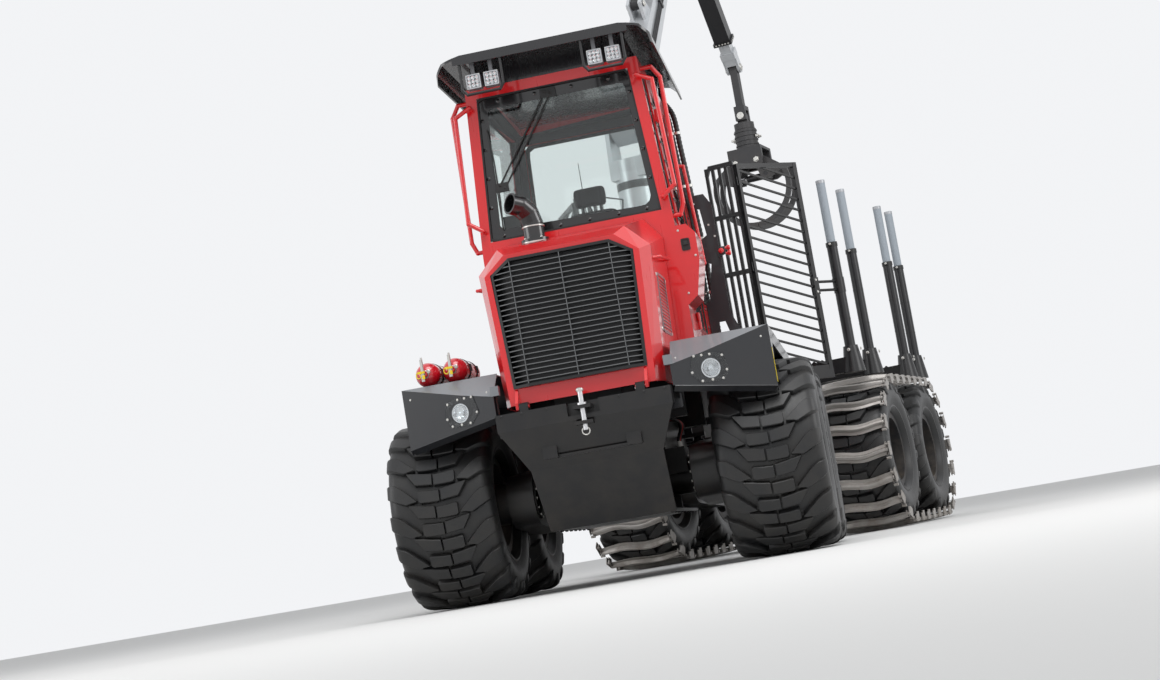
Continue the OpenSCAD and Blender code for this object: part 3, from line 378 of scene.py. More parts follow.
wall = [(290, 337), (291, 356), (318, 366), (345, 392), (353, 402), (353, 411), (349, 419), (356, 440),
        (366, 475), (371, 510), (370, 545), (364, 572), (356, 592), (345, 608), (328, 622), (300, 632),
        (200, 637), (100, 640)]
tyre_parts = [lathe(wall + [(0, 641)] + [(-x, r) for x, r in wall[::-1]], 108)]
for side in (1, -1):
    shapes = [tread_element(stations, side) for stations in tread_elements]
    tyre_parts += [turned(shape, (row + (0 if side > 0 else 0.5)) * 2 * math.pi / tread_rows)
                   for row in range(tread_rows) for shape in shapes]

for name, (x, y) in wheel_places.items():
    tyre = piece("tread_" + name, [moved(part, (x, y, tyre_r)) for part in tyre_parts], tyre_rubber,
                 "wheel_" + name)
    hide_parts("tyre_" + name)
rear_parts = [moved(part, (x, rear_y + y, rear_z)) for x in (-wheel_x, wheel_x) for y in (-wheel_y, wheel_y)
              for part in tyre_parts]
rear_treads = piece("rear_treads", rear_parts, tyre_rubber, "rear_frame")
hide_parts("rear_tyres")

# Band tracks
# Steel tracks laid round both wheels of each rear bogie: wavy cast shoes with one cleat each, joined at
# both ends by pinned links whose side plates reach down over the tyres' shoulders. Worn bright on top.
track_shoes, half_shoe = 28, 382
straight, half_turn = 2 * wheel_y, math.pi * tyre_r


def on_track(part, travel):
    """Puts (x, along, out) millimetres onto the loop: two straight runs and two half circles of tyre radius."""
    half_lap, travel = divmod(travel, straight + half_turn)
    turn = half_lap * math.pi + max(travel - straight, 0) / tyre_r
    along = np.array((-math.cos(turn), -math.sin(turn)))
    out = np.array((-math.sin(turn), math.cos(turn)))
    middle = ((1 - 2 * half_lap) * (wheel_y - min(travel, straight)), rear_z)
    points, faces = part
    flat = np.outer(points[:, 1], along) + np.outer(points[:, 2] + tyre_r, out) + middle
    return np.column_stack([points[:, 0], flat]), faces


def bar_part(low, high, taper=0.0):
    """Box between two corners, its top face drawn in by the taper."""
    (x0, y0, z0), (x1, y1, z1) = low, high
    return loft([[(x0, y0, z0), (x1, y0, z0), (x1, y1, z0), (x0, y1, z0)],
                 [(x0 + taper, y0 + taper, z1), (x1 - taper, y0 + taper, z1),
                  (x1 - taper, y1 - taper, z1), (x0 + taper, y1 - taper, z1)]])


shoe_rings = []
for x in np.linspace(-half_shoe, half_shoe, 23):
    wave = 17 * math.sin(x / half_shoe * math.pi * 1.5)
    droop = 13 * (x / half_shoe) ** 2
    cleat = 59 - 16 * (abs(x) / half_shoe) ** 4
    edge = [(-50, 3), (-50, 12), (-24, 19), (-15, cleat - 5), (-9, cleat)]
    section = edge + [(-s, n) for s, n in edge[::-1]]
    shoe_rings.append([(x, s + wave, max(n - droop, 1)) for s, n in section])
shoe_parts = [loft(shoe_rings)]
for end in (-1, 1):
    # Outer side plates of each end's two links: place along the shoe, foot of the wide and the narrow plate
    for x, wide_foot, narrow_foot in ((368, -4, -4), (394, -38, -58)):
        x0, x1 = sorted((end * (x - 6), end * (x + 5)))
        shoe_parts += [bar_part((x0, -92, wide_foot), (x1, 40, 34), 3),
                       bar_part((x0, -36, narrow_foot), (x1, 36, 34), 3)]
    pin = lathe([(end * 358, 0.2), (end * 358, 13), (end * 399.5, 13), (end * 399.5, 0.2)], 10)
    shoe_parts += [moved(pin, (0, s, 16)) for s in (-66, 62)]
pitch = 2 * (straight + half_turn) / track_shoes
track_parts = [on_track(part, pitch * k) for k in range(track_shoes) for part in shoe_parts]
for name, x in (("track_left", wheel_x), ("track_right", -wheel_x)):
    loop = [moved(part, (x, rear_y, 0)) for part in track_parts]
    track = piece(name + "_shoes", loop, track_steel, "rear_frame")
    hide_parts(name)

# Crane
# Welded box sections: pillar, main boom and extension in silver paint, outer boom and cylinders in black.
# Links, rotator and jaws are dark castings with forest dirt on them.
wear(machine_paint("boom_silver", (0.55, 0.57, 0.59), 0.25, metal=0.35, coat=0.4, dirt=0.05), "pillar",
     "main_boom", "extension")
boom_black = machine_paint("boom_black", (0.012, 0.012, 0.014), 0.3, dirt=0.1)
wear(boom_black, "outer_boom", "lift_barrel", "jib_barrel", "steer_barrel_left", "steer_barrel_right",
     "grapple_barrel")
wear(machine_paint("cast_dark", (0.03, 0.03, 0.033), 0.42, dirt=0.25, dirt_top=6.0), "swing_link",
     "sway_block", "rotator", "jaw_a", "jaw_b")


# Wheel hubs
# Planetary hub covers, cast with a stepped lip and closed by a ring of twelve screws. Ten zinc nuts hold
# each rim to its hub.
def on_axis(part, at, axis=(0, 0, 1)):
    """Turns a part that was made about the X axis so that it points along an axis, and moves it."""
    axis = np.array(axis, float) / np.linalg.norm(axis)
    other = np.cross(axis, (0, 0, 1) if abs(axis[2]) < 0.9 else (0, 1, 0))
    other /= np.linalg.norm(other)
    return part[0] @ np.array([axis, other, np.cross(axis, other)]) + np.array(at, float), part[1]


def handed(part, side):
    """Mirror image of a part in X for the machine's right side; faces stay outward."""
    return part[0] * (side, 1, 1), part[1] if side > 0 else [f[::-1] for f in part[1]]


def both_sides(parts):
    """Each part and its mirror image."""
    return [handed(part, side) for part in parts for side in (1, -1)]


def circle(radius, count, first=0.0):
    """Equal steps round a circle: (radius x cos a, radius x sin a)."""
    angles = (np.arange(count) + first) * 2 * math.pi / count
    return [(radius * math.cos(a), radius * math.sin(a)) for a in angles]


bolt_head = lathe([(0, 0.1), (0, 1.35), (0.12, 1.35), (0.16, 1.0), (0.66, 1.0), (0.8, 0.8), (0.8, 0.1)], 6)


def bolt(at, axis, size):
    """Hexagon head with its washer, standing on a face; size is half the width across corners."""
    return on_axis((bolt_head[0] * size, bolt_head[1]), at, axis)


forward, outboard, up = (0, -1, 0), (1, 0, 0), (0, 0, 1)
hub_black = machine_paint("hub_black", (0.018, 0.018, 0.02), 0.36, dirt=0.6, dirt_top=1.4)
zinc_steel = machine_paint("zinc_steel", (0.62, 0.61, 0.58), 0.34, metal=0.9, dirt=0.25, dirt_top=1.2)
hub_cover = lathe([(-10, 0.5), (-10, 205), (16, 205), (20, 198), (20, 168), (26, 160), (58, 156), (66, 148),
                   (66, 112), (74, 104), (92, 98), (98, 88), (98, 34), (104, 30), (108, 22), (108, 0.5)], 48)
hub_screws = [bolt((66, y, z), outboard, 9) for y, z in circle(130, 12)]
rim_nuts = [bolt((10, y, z), outboard, 15) for y, z in circle(218, 10, 0.5)]
hub_kinds = (("hub_", "rear_hubs", [hub_cover] + hub_screws, hub_black),
             ("wheel_nuts_", "rear_wheel_nuts", rim_nuts, zinc_steel))
for name, (x, y) in wheel_places.items():
    for front_name, rear_name, parts, material in hub_kinds:
        placed = [moved(handed(part, math.copysign(1, x)), (x, y, tyre_r)) for part in parts]
        piece(front_name + name, placed, material, "wheel_" + name)
for front_name, rear_name, parts, material in hub_kinds:
    piece(rear_name, [moved(handed(part, side), (side * wheel_x, rear_y + y, rear_z)) for side in (1, -1)
                      for y in (-wheel_y, wheel_y) for part in parts], material, "rear_frame")


# Windscreen border and seals
# Black fired border on the outer glass face with rounded inner corners, a rubber seal in the frame's
# opening, and the domed nuts that clamp the pane. The rear pane has the same seal.
def rounded(corners, radius, count=96):
    """Closed outline of straight sides and round corners, given as (x, z) corners, in equal steps."""
    corners, radius = np.array(corners, float), np.broadcast_to(radius, len(corners))
    outline = []
    for k, corner in enumerate(corners):
        back, on = ((other - corner) / np.linalg.norm(other - corner)
                    for other in (corners[k - 1], corners[(k + 1) % len(corners)]))
        half = math.acos(np.clip(np.dot(back, on), -1, 1)) / 2
        reach = radius[k] / math.tan(half)
        centre = corner + (back + on) / np.linalg.norm(back + on) * radius[k] / math.sin(half)
        first, last = corner + back * reach - centre, corner + on * reach - centre
        for t in np.linspace(0, 1, 9):
            spoke = first * (1 - t) + last * t
            outline.append(centre + spoke / np.linalg.norm(spoke) * radius[k])
    outline = np.array(outline + outline[:1])
    run = np.concatenate([[0], np.cumsum(np.linalg.norm(np.diff(outline, axis=0), axis=1))])
    places = np.linspace(0, run[-1], count, endpoint=False)
    return np.stack([np.interp(places, run, outline[:, k]) for k in (0, 1)], 1)


def rim_plate(outer, inner, low, high, lay):
    """Flat frame between two outlines of equally many points; lay(u, v, depth) gives its place in space."""
    rings = [lay(*outer.T, low), lay(*outer.T, high), lay(*inner.T, high), lay(*inner.T, low)]
    points = np.stack([np.stack(np.broadcast_arrays(*r), 1) for r in rings], 1).reshape(-1, 3)
    return points, outward(points, grid_faces(len(outer), 4, True, True))


def facing_front(y):
    """Lay for outlines in (x, z) whose depth runs forward from a plane y."""
    return lambda u, v, depth: (u, y - depth, v)


fired_black = machine_paint("fired_black", (0.008, 0.008, 0.009), 0.12, coat=0.6, dirt=0.0)
rubber_seal = machine_paint("rubber_seal", (0.016, 0.016, 0.016), 0.6, dirt=0.0)
screen = [(-645, 2606), (645, 2606), (577, 3692), (-577, 3692)]
screen_inner = rounded([(-560, 2690), (588, 2664), (530, 3600), (-508, 3600)], (30, 70, 30, 30))
glass_y, rear_glass_y = -540, 1160
piece("windscreen_border", [rim_plate(rounded(screen, 10), screen_inner, 0.3, 1.4, facing_front(glass_y))],
      fired_black)
seal_inner = rounded([(-632, 2619), (632, 2619), (566, 3680), (-566, 3680)], 14)
rear_pane = rounded([(-590, 2100), (590, 2100), (540, 3640), (-540, 3640)], 12)
rear_inner = rounded([(-560, 2130), (560, 2130), (511, 3612), (-511, 3612)], 45)
rear_seal = rim_plate(rear_pane, rear_inner, 0.5, 16, lambda u, v, depth: (u, rear_glass_y + depth, v))
piece("pane_seals", [rim_plate(rounded(screen, 12), seal_inner, 1.5, 22, facing_front(glass_y + 1)), rear_seal],
      rubber_seal)
clamp_dome = lathe([(0, 0.2), (0, 15), (3, 15), (4, 11), (9, 8), (11, 0.2)], 12)
spots = [(x, 2640) for x in (-540, -330, -110, 110, 330, 540)]
spots += [(side * (610 - (z - 2700) * 0.061), z) for z in (2860, 3080, 3300, 3520) for side in (-1, 1)]
spots += [(x, 3648) for x in (-420, -140, 140, 420)]
piece("pane_clamps", [on_axis(clamp_dome, (x, glass_y - 1.4, z), forward) for x, z in spots], fired_black,
      smooth=1.2)


# Wipers
# Parallel-arm wiper parked along the windscreen's right edge, driven from above, with a washer tube; a
# second one with two spread arms stands on the rear pane. Black tubes on pressed brackets.
def sweep(path, radius, corners=10):
    """Round tube along a path of points: rings square to the path, kept from twisting step by step."""
    path = np.array(path, float)
    ways = np.gradient(path, axis=0)
    ways /= np.linalg.norm(ways, axis=1)[:, None]
    across = np.cross(ways[0], (0, 0, 1) if abs(ways[0][2]) < 0.9 else (1, 0, 0))
    angle = np.linspace(0, 2 * math.pi, corners, endpoint=False)
    rings = []
    for point, way, r in zip(path, ways, np.broadcast_to(radius, len(path))):
        across = across - way * np.dot(across, way)
        across /= np.linalg.norm(across)
        ring = np.outer(np.cos(angle), across) + np.outer(np.sin(angle), np.cross(way, across))
        rings.append(point + r * ring)
    return loft(rings)


def curve(points, steps=8):
    """Smooth path through points (Catmull-Rom): a cubic between each two, slopes from their neighbours."""
    p = np.array(points, float)
    p = np.vstack([2 * p[0] - p[1], p, 2 * p[-1] - p[-2]])
    t = np.linspace(0, 1, steps, endpoint=False)[:, None]
    runs = [0.5 * (2 * b + (c - a) * t + (2 * a - 5 * b + 4 * c - d) * t ** 2
                   + (3 * b - a - 3 * c + d) * t ** 3) for a, b, c, d in zip(p, p[1:], p[2:], p[3:])]
    return np.vstack(runs + [p[-2:-1]])


wiper_black = machine_paint("wiper_black", (0.012, 0.012, 0.012), 0.4, dirt=0.0)
arms = [[(-60, -556, 3640), (-505, -560, 3010)], [(-20, -556, 3625), (-470, -560, 2985)],
        [(-80, 1180, 3020), (60, 1182, 2230)], [(190, 1180, 3050), (60, 1182, 2230)]]
washer_tubes = [[(-535, -562, 3440), (-520, -566, 3200), (-520, -566, 2900), (-535, -562, 2690)],
                [(-126, 1186, 3150), (-80, 1180, 3020)], [(-126, 1186, 3150), (190, 1180, 3050)]]
brackets = [((-100, -566, 3600), (20, -545, 3670), 3), ((-545, -572, 2960), (-440, -556, 3030), 3),
            ((20, 1164, 2190), (100, 1196, 2270), 3), ((-538, -560, 2680), (-530, -541.6, 3450), 2),
            ((-130, 1171, 2880), (-122, 1184, 3420), 2)]
arm_ends = ((-60, 3640), (-22, 3628), (-503, 3012), (-470, 2987))
piece("wipers", [sweep(path, 7) for path in arms] + [sweep(path, 6) for path in washer_tubes]
      + [bar_part(*bracket) for bracket in brackets]
      + [on_axis(clamp_dome, (x, -566, z), forward) for x, z in arm_ends], wiper_black)


# Fender lamps
# Round headlamps behind bolted polycarbonate covers: a grey housing, a bright bowl with its bulb shield and
# a ribbed lens. Nine zinc screws hold each kite-shaped cover, two more the panel beside it.
def on_fender(part):
    """Puts a part drawn in a fender panel's own plane (along, behind, up) onto the left panel."""
    x, y, z = part[0].T
    lean = math.radians(18.43)
    return np.stack([570 + math.cos(lean) * x - math.sin(lean) * y,
                     -1620 + math.sin(lean) * x + math.cos(lean) * y, z], 1), part[1]


def spun(profile, at, axis=up, count=20):
    """Lathed part that points along an axis."""
    return on_axis(lathe(profile, count), at, axis)


reflector = machine_paint("reflector", (0.86, 0.86, 0.86), 0.1, metal=1.0, dirt=0.0, streak=0.1)
lens_clear = clear_pane("lens_clear", (0.96, 0.97, 0.98), 0.03)
lamp_alloy = machine_paint("lamp_alloy", (0.42, 0.43, 0.45), 0.35, metal=0.4, dirt=0.0)
ribs = [(-1.6 + (k % 2) * 1.1, 51 - 4.6 * k) for k in range(11)]
lamp_shell, lamp_bowl, bulb_shield, lamp_lens = (
    spun(profile, (320, 0, 1318), forward, count) for profile, count in (
        ([(-60, 0.5), (-60, 79.6), (-8.4, 79.6), (-8.4, 67.4), (-2.2, 67.4), (-2.2, 64.8), (-14, 64.6),
          (-54, 40), (-56, 0.5)], 48),
        ([(-50, 0.5), (-50, 20), (-40, 36), (-24, 50), (-8, 59), (-4, 64.2), (-3, 64.2), (-3, 58), (-10, 54),
          (-27, 44), (-38, 30), (-44, 14), (-44, 0.5)], 48),
        ([(-40, 0.5), (-40, 13), (-18, 17), (-15, 15), (-14, 0.5)], 24),
        ([(-6, 0.5), (-6, 57.5), (-3, 57.5), (-2, 54)] + ribs + [(-1.5, 0.5)], 48)))
cover_screws = [(186, 1303), (214, 1412), (268, 1412), (324, 1411), (408, 1393), (426, 1292), (392, 1238),
                (318, 1238), (248, 1238)]
screws = [bolt((x, -5.2, z), forward, 7) for x, z in cover_screws]
screws += [bolt((90, -0.2, 1420), forward, 5), bolt((700, -0.2, 1480), forward, 6)]
for name, parts, material in (("headlamp_shells", [lamp_shell], lamp_alloy),
                              ("headlamp_bowls", [lamp_bowl, bulb_shield], reflector),
                              ("headlamp_lenses", [lamp_lens], lens_clear),
                              ("lamp_cover_screws", screws, zinc_steel)):
    thing = piece(name, both_sides(on_fender(part) for part in parts), material)
    if name == "headlamp_shells":
        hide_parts("fender_lamps")


# Work lamps
# Four square lamps on forks under the visor: ribbed alloy housings, a bezel with four screws, and nine
# collimator cups behind a clear front.
def box_frame(corners, inset, radii, count, low, high, lay):
    """Rounded rectangular frame: (u0, v0, u1, v1) outside, drawn in by the inset inside."""
    outlines = []
    for step, radius in zip((0, inset), radii):
        u0, v0, u1, v1 = np.array(corners) + np.array((step, step, -step, -step))
        outlines.append(rounded([(u0, v0), (u1, v0), (u1, v1), (u0, v1)], radius, count))
    return rim_plate(*outlines, low, high, lay)


bezels, cups, fronts, bezel_screws = [], [], [], []
cup = lathe([(0.2, 0.4), (0.2, 5), (7.6, 13), (7.6, 14.2), (0.1, 14.2), (0.1, 0.4)], 16)
bezel = box_frame((-54, -54, 54, 54), 9, (14, 9), 48, 0.2, 11, facing_front(0))
for x in (-520, -385, 385, 520):
    middle = np.array((x, -872, 3744))
    bezels += [moved(bezel, middle)]
    bezels += [bar_part((x - 50, -811.8, 3696 + k * 12), (x + 50, -792, 3700 + k * 12)) for k in range(8)]
    cups += [on_axis(cup, middle + (dx, 0, dz), forward) for dx in (-29, 0, 29) for dz in (-29, 0, 29)]
    fronts += [bar_part((x - 45, -881.6, 3699), (x + 45, -880.2, 3789))]
    bezel_screws += [bolt(middle + (dx, -11, dz), forward, 3.4) for dx in (-49, 49) for dz in (-49, 49)]
piece("work_lamp_bezels", bezels, lamp_alloy)
piece("work_lamp_cups", cups, reflector)
piece("work_lamp_fronts", fronts, lens_clear)
piece("work_lamp_screws", bezel_screws, zinc_steel)

# Fire extinguishers
# Two red bottles on the right fender: alloy valve, silver squeeze lever, yellow safety pin and a small
# gauge. Two rubber-coated straps with a catch clamp each bottle to its cradle.
valves, pins, straps = [], [], []
pin_yellow = machine_paint("pin_yellow", (0.82, 0.62, 0.02), 0.4, dirt=0.0)
ring_turn = np.linspace(0, 2 * math.pi, 25)


def pull_ring(middle, radii):
    """Closed path round a middle, in a plane that faces forward."""
    ring = np.stack([radii[0] * np.cos(ring_turn), 0 * ring_turn, radii[1] * np.sin(ring_turn)], 1)
    return ring + middle


bottle_z = 1652
valve_neck = [(0, 0.4), (0, 28), (12, 28), (18, 21), (46, 19), (54, 14), (54, 0.4)]
for x in (-1130, -930):
    valves += [spun(valve_neck, (x, -1266, bottle_z), forward),
               bar_part((x - 12, -1352, 1596), (x + 10, -1338, 1752), 3),
               bar_part((x - 9, -1330, 1668), (x + 9, -1322, 1768), 2),
               spun([(0, 0.3), (0, 16), (9, 16), (12, 12), (12, 0.3)], (x + 32, -1300, 1664), forward),
               bar_part((x, -1306, 1658), (x + 34, -1294, 1670), 1)]
    pins += [sweep(pull_ring((x - 30, -1347, 1642), (17, 21)), 4, 8),
             bar_part((x - 34, -1357, 1652), (x + 18, -1353, 1668), 1),
             bar_part((x - 5, -1358, 1612), (x + 16, -1354, 1640), 2)]
    for y in (-1066, -846):
        straps += [spun([(0, 88.3), (0, 91), (34, 91), (34, 88.3)], (x, y, bottle_z), forward, 48),
                   bar_part((x + 84, y - 34, 1640), (x + 99, y, 1690), 3)]
piece("extinguisher_valves", valves, zinc_steel)
piece("extinguisher_pins", pins, pin_yellow)
piece("extinguisher_straps", straps, rubber_seal)

# Grille edges, painted highlights
# The grille's slats are folded steel sheet; the thin pale strips on their front edges are painted highlights
# where light catches the edges. Three thin uprights are welded across their fronts and tie them together.
slat_edge_highlight_grey = machine_paint("slat_edge_highlight_grey", (0.17, 0.175, 0.18), 0.32, metal=0.6, dirt=0.1, dirt_top=2.4)
slat_count, lowest_slat, slat_pitch, grille_y, flat_half = 23, 1443.5, 36, -1643.5, 350
slats = []
for z in lowest_slat + slat_pitch * np.arange(slat_count):
    reach = np.interp(z, [1404, 2200, 2290], [458, 495, flat_half])
    swept = grille_y + 60 * max(reach - flat_half, 0) / 160
    path = [(-reach, swept), (-flat_half, grille_y), (flat_half, grille_y), (reach, swept)]
    slats += [loft([[(x, y - 1.6, z - 3), (x, y + 1.6, z - 3), (x, y + 1.6, z + 3), (x, y - 1.6, z + 3)]
                    for x, y in path])]
slats += [bar_part((x - 2.5, -1649, 1412), (x + 2.5, -1645, 2284)) for x in (-348, 0, 348)]
# Pale strips on the slat fronts and uprights: painted highlights.
piece("grille_edge_highlights", slats, slat_edge_highlight_grey, "hood")

# Tow pin
# Drop pin of bright turned steel in the bumper's bracket, with a turned head above and a rolled ring below
# to pull it by.
pin_head = spun([(0, 0.4), (0, 24), (10, 27), (20, 24), (26, 12), (26, 0.4)], (0, -1740, 1300), up, 24)
piece("tow_pin_ring", [sweep(pull_ring((0, -1746, 1034), (26, 26)), 4.5, 8), pin_head], zinc_steel)


# Operator's seat
# High-backed suspension seat: moulded shell on a turning pedestal, with a foam cushion and backrest in
# woven fabric that have sewn channels. The pads swell in the seams, so they are pressed up by cloth.
def pillow(low, high, power=0.32, count=64):
    """Rounded block: each axis runs as a signed power of the sine or cosine, so the corners stay soft."""
    u = np.linspace(-math.pi, math.pi, count, endpoint=False)[:, None]
    v = np.linspace(-math.pi / 2, math.pi / 2, count // 2 + 1)[None, 1:-1]
    bent = lambda value: np.sign(value) * np.abs(value) ** power
    unit = np.stack([bent(np.cos(v)) * bent(np.cos(u)), bent(np.cos(v)) * bent(np.sin(u)),
                     bent(np.sin(v)) * np.ones_like(u)], 2)
    middle, half = (np.array(low) + high) / 2, (np.array(high, float) - low) / 2
    return loft(np.moveaxis(unit * half + middle, 1, 0))


def woven_cloth(name, colour, thread):
    """Twill: two crossed wave bands on Object coordinates drive bump and a small change of colour."""
    material, tree = new_material(name)
    where = add_node(tree, "TexCoord", out="Object")
    waves = [add_node(tree, "TexWave", bands_direction=way, Vector=where, Scale=thread, Distortion=0.6,
                      out="Fac") for way in ("X", "DIAGONAL")]
    weave = add_node(tree, "Math", *waves, operation="MULTIPLY")
    pale = [min(1, c * 2.2) for c in colour]
    mixed = add_node(tree, "Mix", data_type="RGBA", Factor=weave, A=(*colour, 1), B=(*pale, 1), out="Result")
    bump = add_node(tree, "Bump", Strength=0.35, Distance=0.001, Height=weave)
    set_inputs(tree, tree.nodes["Principled BSDF"], Base_Color=mixed, Roughness=0.9, Sheen_Weight=0.3,
               Normal=bump)
    return material


def mesh_points(mesh):
    """Vertex places as rows."""
    points = np.empty(len(mesh.vertices) * 3)
    mesh.vertices.foreach_get("co", points)
    return points.reshape(-1, 3)


def finished_mesh(thing):
    """New mesh of an object with its modifiers applied."""
    return bpy.data.meshes.new_from_object(thing.evaluated_get(bpy.context.evaluated_depsgraph_get()))


def foam_pad(name, part, channels, cap):
    """Remeshed, blown up by a cloth run with capped travel, grooved by depth x exp(-(distance / width)^2)."""
    pad = piece(name, [part], seat_cloth, smooth=3.2)
    remesh = pad.modifiers.new("even", "REMESH")
    remesh.mode, remesh.voxel_size = "VOXEL", voxel
    pad.data = finished_mesh(pad)
    pad.modifiers.clear()
    start = mesh_points(pad.data)
    cloth = pad.modifiers.new("swell", "CLOTH").settings
    cloth.use_pressure, cloth.uniform_pressure_force = True, 4.0
    cloth.effector_weights.gravity = 0
    for step in range(1, 21):
        bpy.context.scene.frame_set(step)
    blown = finished_mesh(pad)
    pad.modifiers.clear()
    bpy.context.scene.frame_set(1)
    travel = mesh_points(blown) - start
    length = np.linalg.norm(travel, axis=1, keepdims=True)
    capped = start + travel * np.minimum(1, cap / np.maximum(length, 1e-9))
    blown.vertices.foreach_set("co", capped.ravel())
    pad.data = blown
    blown.materials.clear()
    blown.materials.append(seat_cloth)
    blown.polygons.foreach_set("use_smooth", [True] * len(blown.polygons))
    points = mesh_points(pad.data)
    middle = points.mean(0)
    for axis, at, inward, depth in channels:
        near = np.exp(-((points[:, axis] - front_spot((at, at, at))[axis]) / groove_width) ** 2)
        points[:, inward] -= np.sign(points[:, inward] - middle[inward]) * depth * near
    pad.data.vertices.foreach_set("co", points.ravel())
    pad.data.update()


voxel, groove_width = 0.006, 0.007
seat_cloth = woven_cloth("seat_cloth", (0.022, 0.022, 0.025), 260.0)
seat_shell = machine_paint("seat_shell", (0.018, 0.018, 0.02), 0.5, dirt=0.0)
foam_pad("seat_cushion", pillow((-232, 96, 2074), (232, 496, 2134)),
         [(0, -120, 2, 0.004), (0, 120, 2, 0.004), (1, 300, 2, 0.003)], 0.008)
foam_pad("seat_backrest", pillow((-214, 522, 2160), (214, 584, 2880)),
         [(0, -130, 1, 0.004), (0, 130, 1, 0.004), (2, 2380, 1, 0.003), (2, 2640, 1, 0.003)], 0.008)
foam_pad("seat_headrest", pillow((-128, 536, 2926), (128, 594, 3086)),
         [(0, -84, 1, 0.003), (0, 84, 1, 0.003)], 0.006)
pedestal = [(-340, 0.5), (-340, 178), (-318, 178), (-310, 120), (-60, 110), (-60, 0.5)]
turntable = [(0, 0.5), (0, 150), (12, 158), (24, 158), (38, 150), (96, 148), (96, 0.5)]
shell_parts = [spun(pedestal, (0, 330, 1962), up, 40), spun(turntable, (0, 330, 1905), up, 40),
               pillow((-246, 84, 2004), (246, 576, 2082), 0.2, 48),
               pillow((-226, 580, 2100), (226, 618, 2896), 0.3, 48)]
shell_parts += both_sides([sweep([(70, 596, 2840), (70, 596, 2960)], 8),
                           bar_part((224, 300, 2066), (248, 590, 2140), 4)])
seat_parts = piece("seat_shell", shell_parts, seat_shell)
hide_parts("seat")

# Controls
# Armrest consoles with a joystick, two rows of keys and a padded rest each, moulded in black plastic. A
# screen stands on a bent stalk.
grip = [(0, 0.4), (0, 24), (16, 26), (26, 17), (60, 15), (84, 19), (120, 22), (150, 24), (168, 18), (174, 8),
        (174, 0.4)]
stick_parts = []
for x in (335, -335):
    stick_parts += [spun(grip, (x, 200, 2330), (0, -0.22, 1)),
                    pillow((x - 42, 360, 2331), (x + 42, 498, 2360), 0.4, 32)]
    stick_parts += [bar_part((x - 30 + 15 * k, 300 + 30 * j, 2330), (x - 20 + 15 * k, 318 + 30 * j, 2337), 2)
                    for k in range(4) for j in range(2)]
stalk = curve([(-300, -400, 2520), (-380, -390, 2560), (-430, -380, 2620), (-440, -360, 2660)])
stick_parts += [sweep(stalk, 13), bar_part((-560, -372, 2650), (-330, -346, 2810), 4),
                bar_part((-60, -470, 2520), (60, -350, 2590), 12)]
piece("joysticks_and_screen", stick_parts, seat_shell)
piece("screen_face", [bar_part((-550, -345.8, 2660), (-340, -344.6, 2800))], fired_black)


# Side panes and cab fittings
# The cab's inner faces carry dark grey moulded lining, and domed nuts clamp the side panes in rubber. The
# red box in front of the door has a black paddle latch, the pillar a bolted red bracket.
def side_x(z):
    """Outer face of the cab side: upright to z = 2500, then leaning in by 65 over 1270."""
    return 720 - 65 * np.clip((np.asarray(z, float) - 2500) / 1270, 0, 1)


cab_middle, floor_z, ceiling_z, inner_front, inner_back = (0, 310, 2660), 1575, 3735, -515, 1135
lining = machine_paint("cab_lining", (0.05, 0.052, 0.056), 0.6, dirt=0.0)
for name in ("cab_shell", "door_frame"):
    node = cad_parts[name]
    node.data.materials.append(lining)
    for face in node.data.polygons:
        x, y, z = np.array(node.matrix_world @ face.center) * 1000 + frame_middle
        inward = np.dot(node.matrix_world.to_3x3() @ face.normal, np.subtract(cab_middle, (x, y, z))) > 0
        inside = abs(x) < side_x(z) - 40 and inner_front < y < inner_back and floor_z < z < ceiling_z
        if inward and inside:
            face.material_index = 1

# Side, y and z of two corners, how far the pane is sunk, body
side_panes = [(1, -470, -150, 2520, 3680, 20, "front_frame"), (1, 10, 910, 1780, 3620, 14, "door"),
              (-1, -470, -130, 2120, 3680, 20, "front_frame"), (-1, -40, 1090, 2020, 3680, 20, "front_frame")]
seals, nuts = {"front_frame": [], "door": []}, {"front_frame": [], "door": []}
for side, y0, y1, z0, z1, sunk, body in side_panes:
    seals[body].append(handed(box_frame((y0, z0, y1, z1), 20, (6, 42), 160, 0.3, 7,
                                        lambda u, v, depth: (side_x(v) - sunk + depth, u, v)), side))
    for z in np.arange(z0 + 70, z1 - 40, 150):
        lean = (1, 0, 0.05 if z > 2500 else 0)
        nuts[body] += [handed(on_axis(clamp_dome, (side_x(z) + 0.2, y, z), lean), side)
                       for y in (y0 - 16, y1 + 16)]
for body in seals:
    piece("side_pane_seals_" + body, seals[body], rubber_seal, body)
    piece("side_pane_nuts_" + body, nuts[body], fired_black, body, 1.2)

latch = box_frame((742, 2276, 806, 2366), 10, (12, 7), 40, 0.2, 7, facing_front(-560))
piece("box_latch", [latch, bar_part((752, -563, 2286), (796, -560.2, 2356)),
                    bar_part((758, -571, 2318), (790, -563, 2350), 3)], rubber_seal)
grab = sweep([(738, 920, 2140), (762, 920, 2130), (766, 920, 2060), (740, 920, 2050)], 8)
piece("door_handle", [bar_part((724, 890, 2035), (742, 950, 2150), 5), grab], rubber_seal, "door")
piece("pillar_bracket", [bar_part((672, -136, 3344), (722, -86, 3446), 6),
                         bar_part((690, -124, 3372), (736, -98, 3424), 4)], body_red)
plate_bolts = [(970, 1640), (1000, 1600), (960, 1720), (850, 2700), (885, 2600), (760, 2890)]
piece("cab_bolts", [bolt((side_x(z) + 0.2, -110, z), (1, 0, 0.05), 9) for z in (3330, 3462)]
      + [bolt((x, 1129.8, z), forward, 7) for x, z in plate_bolts]
      + [bolt((x, -560.2, z), forward, 7) for x, z in ((735, 1965), (735, 2430), (832, 2230))], zinc_steel)
knob = lathe([(0, 0.4), (0, 12), (14, 12), (18, 21), (34, 22), (42, 16), (45, 0.4)], 20)
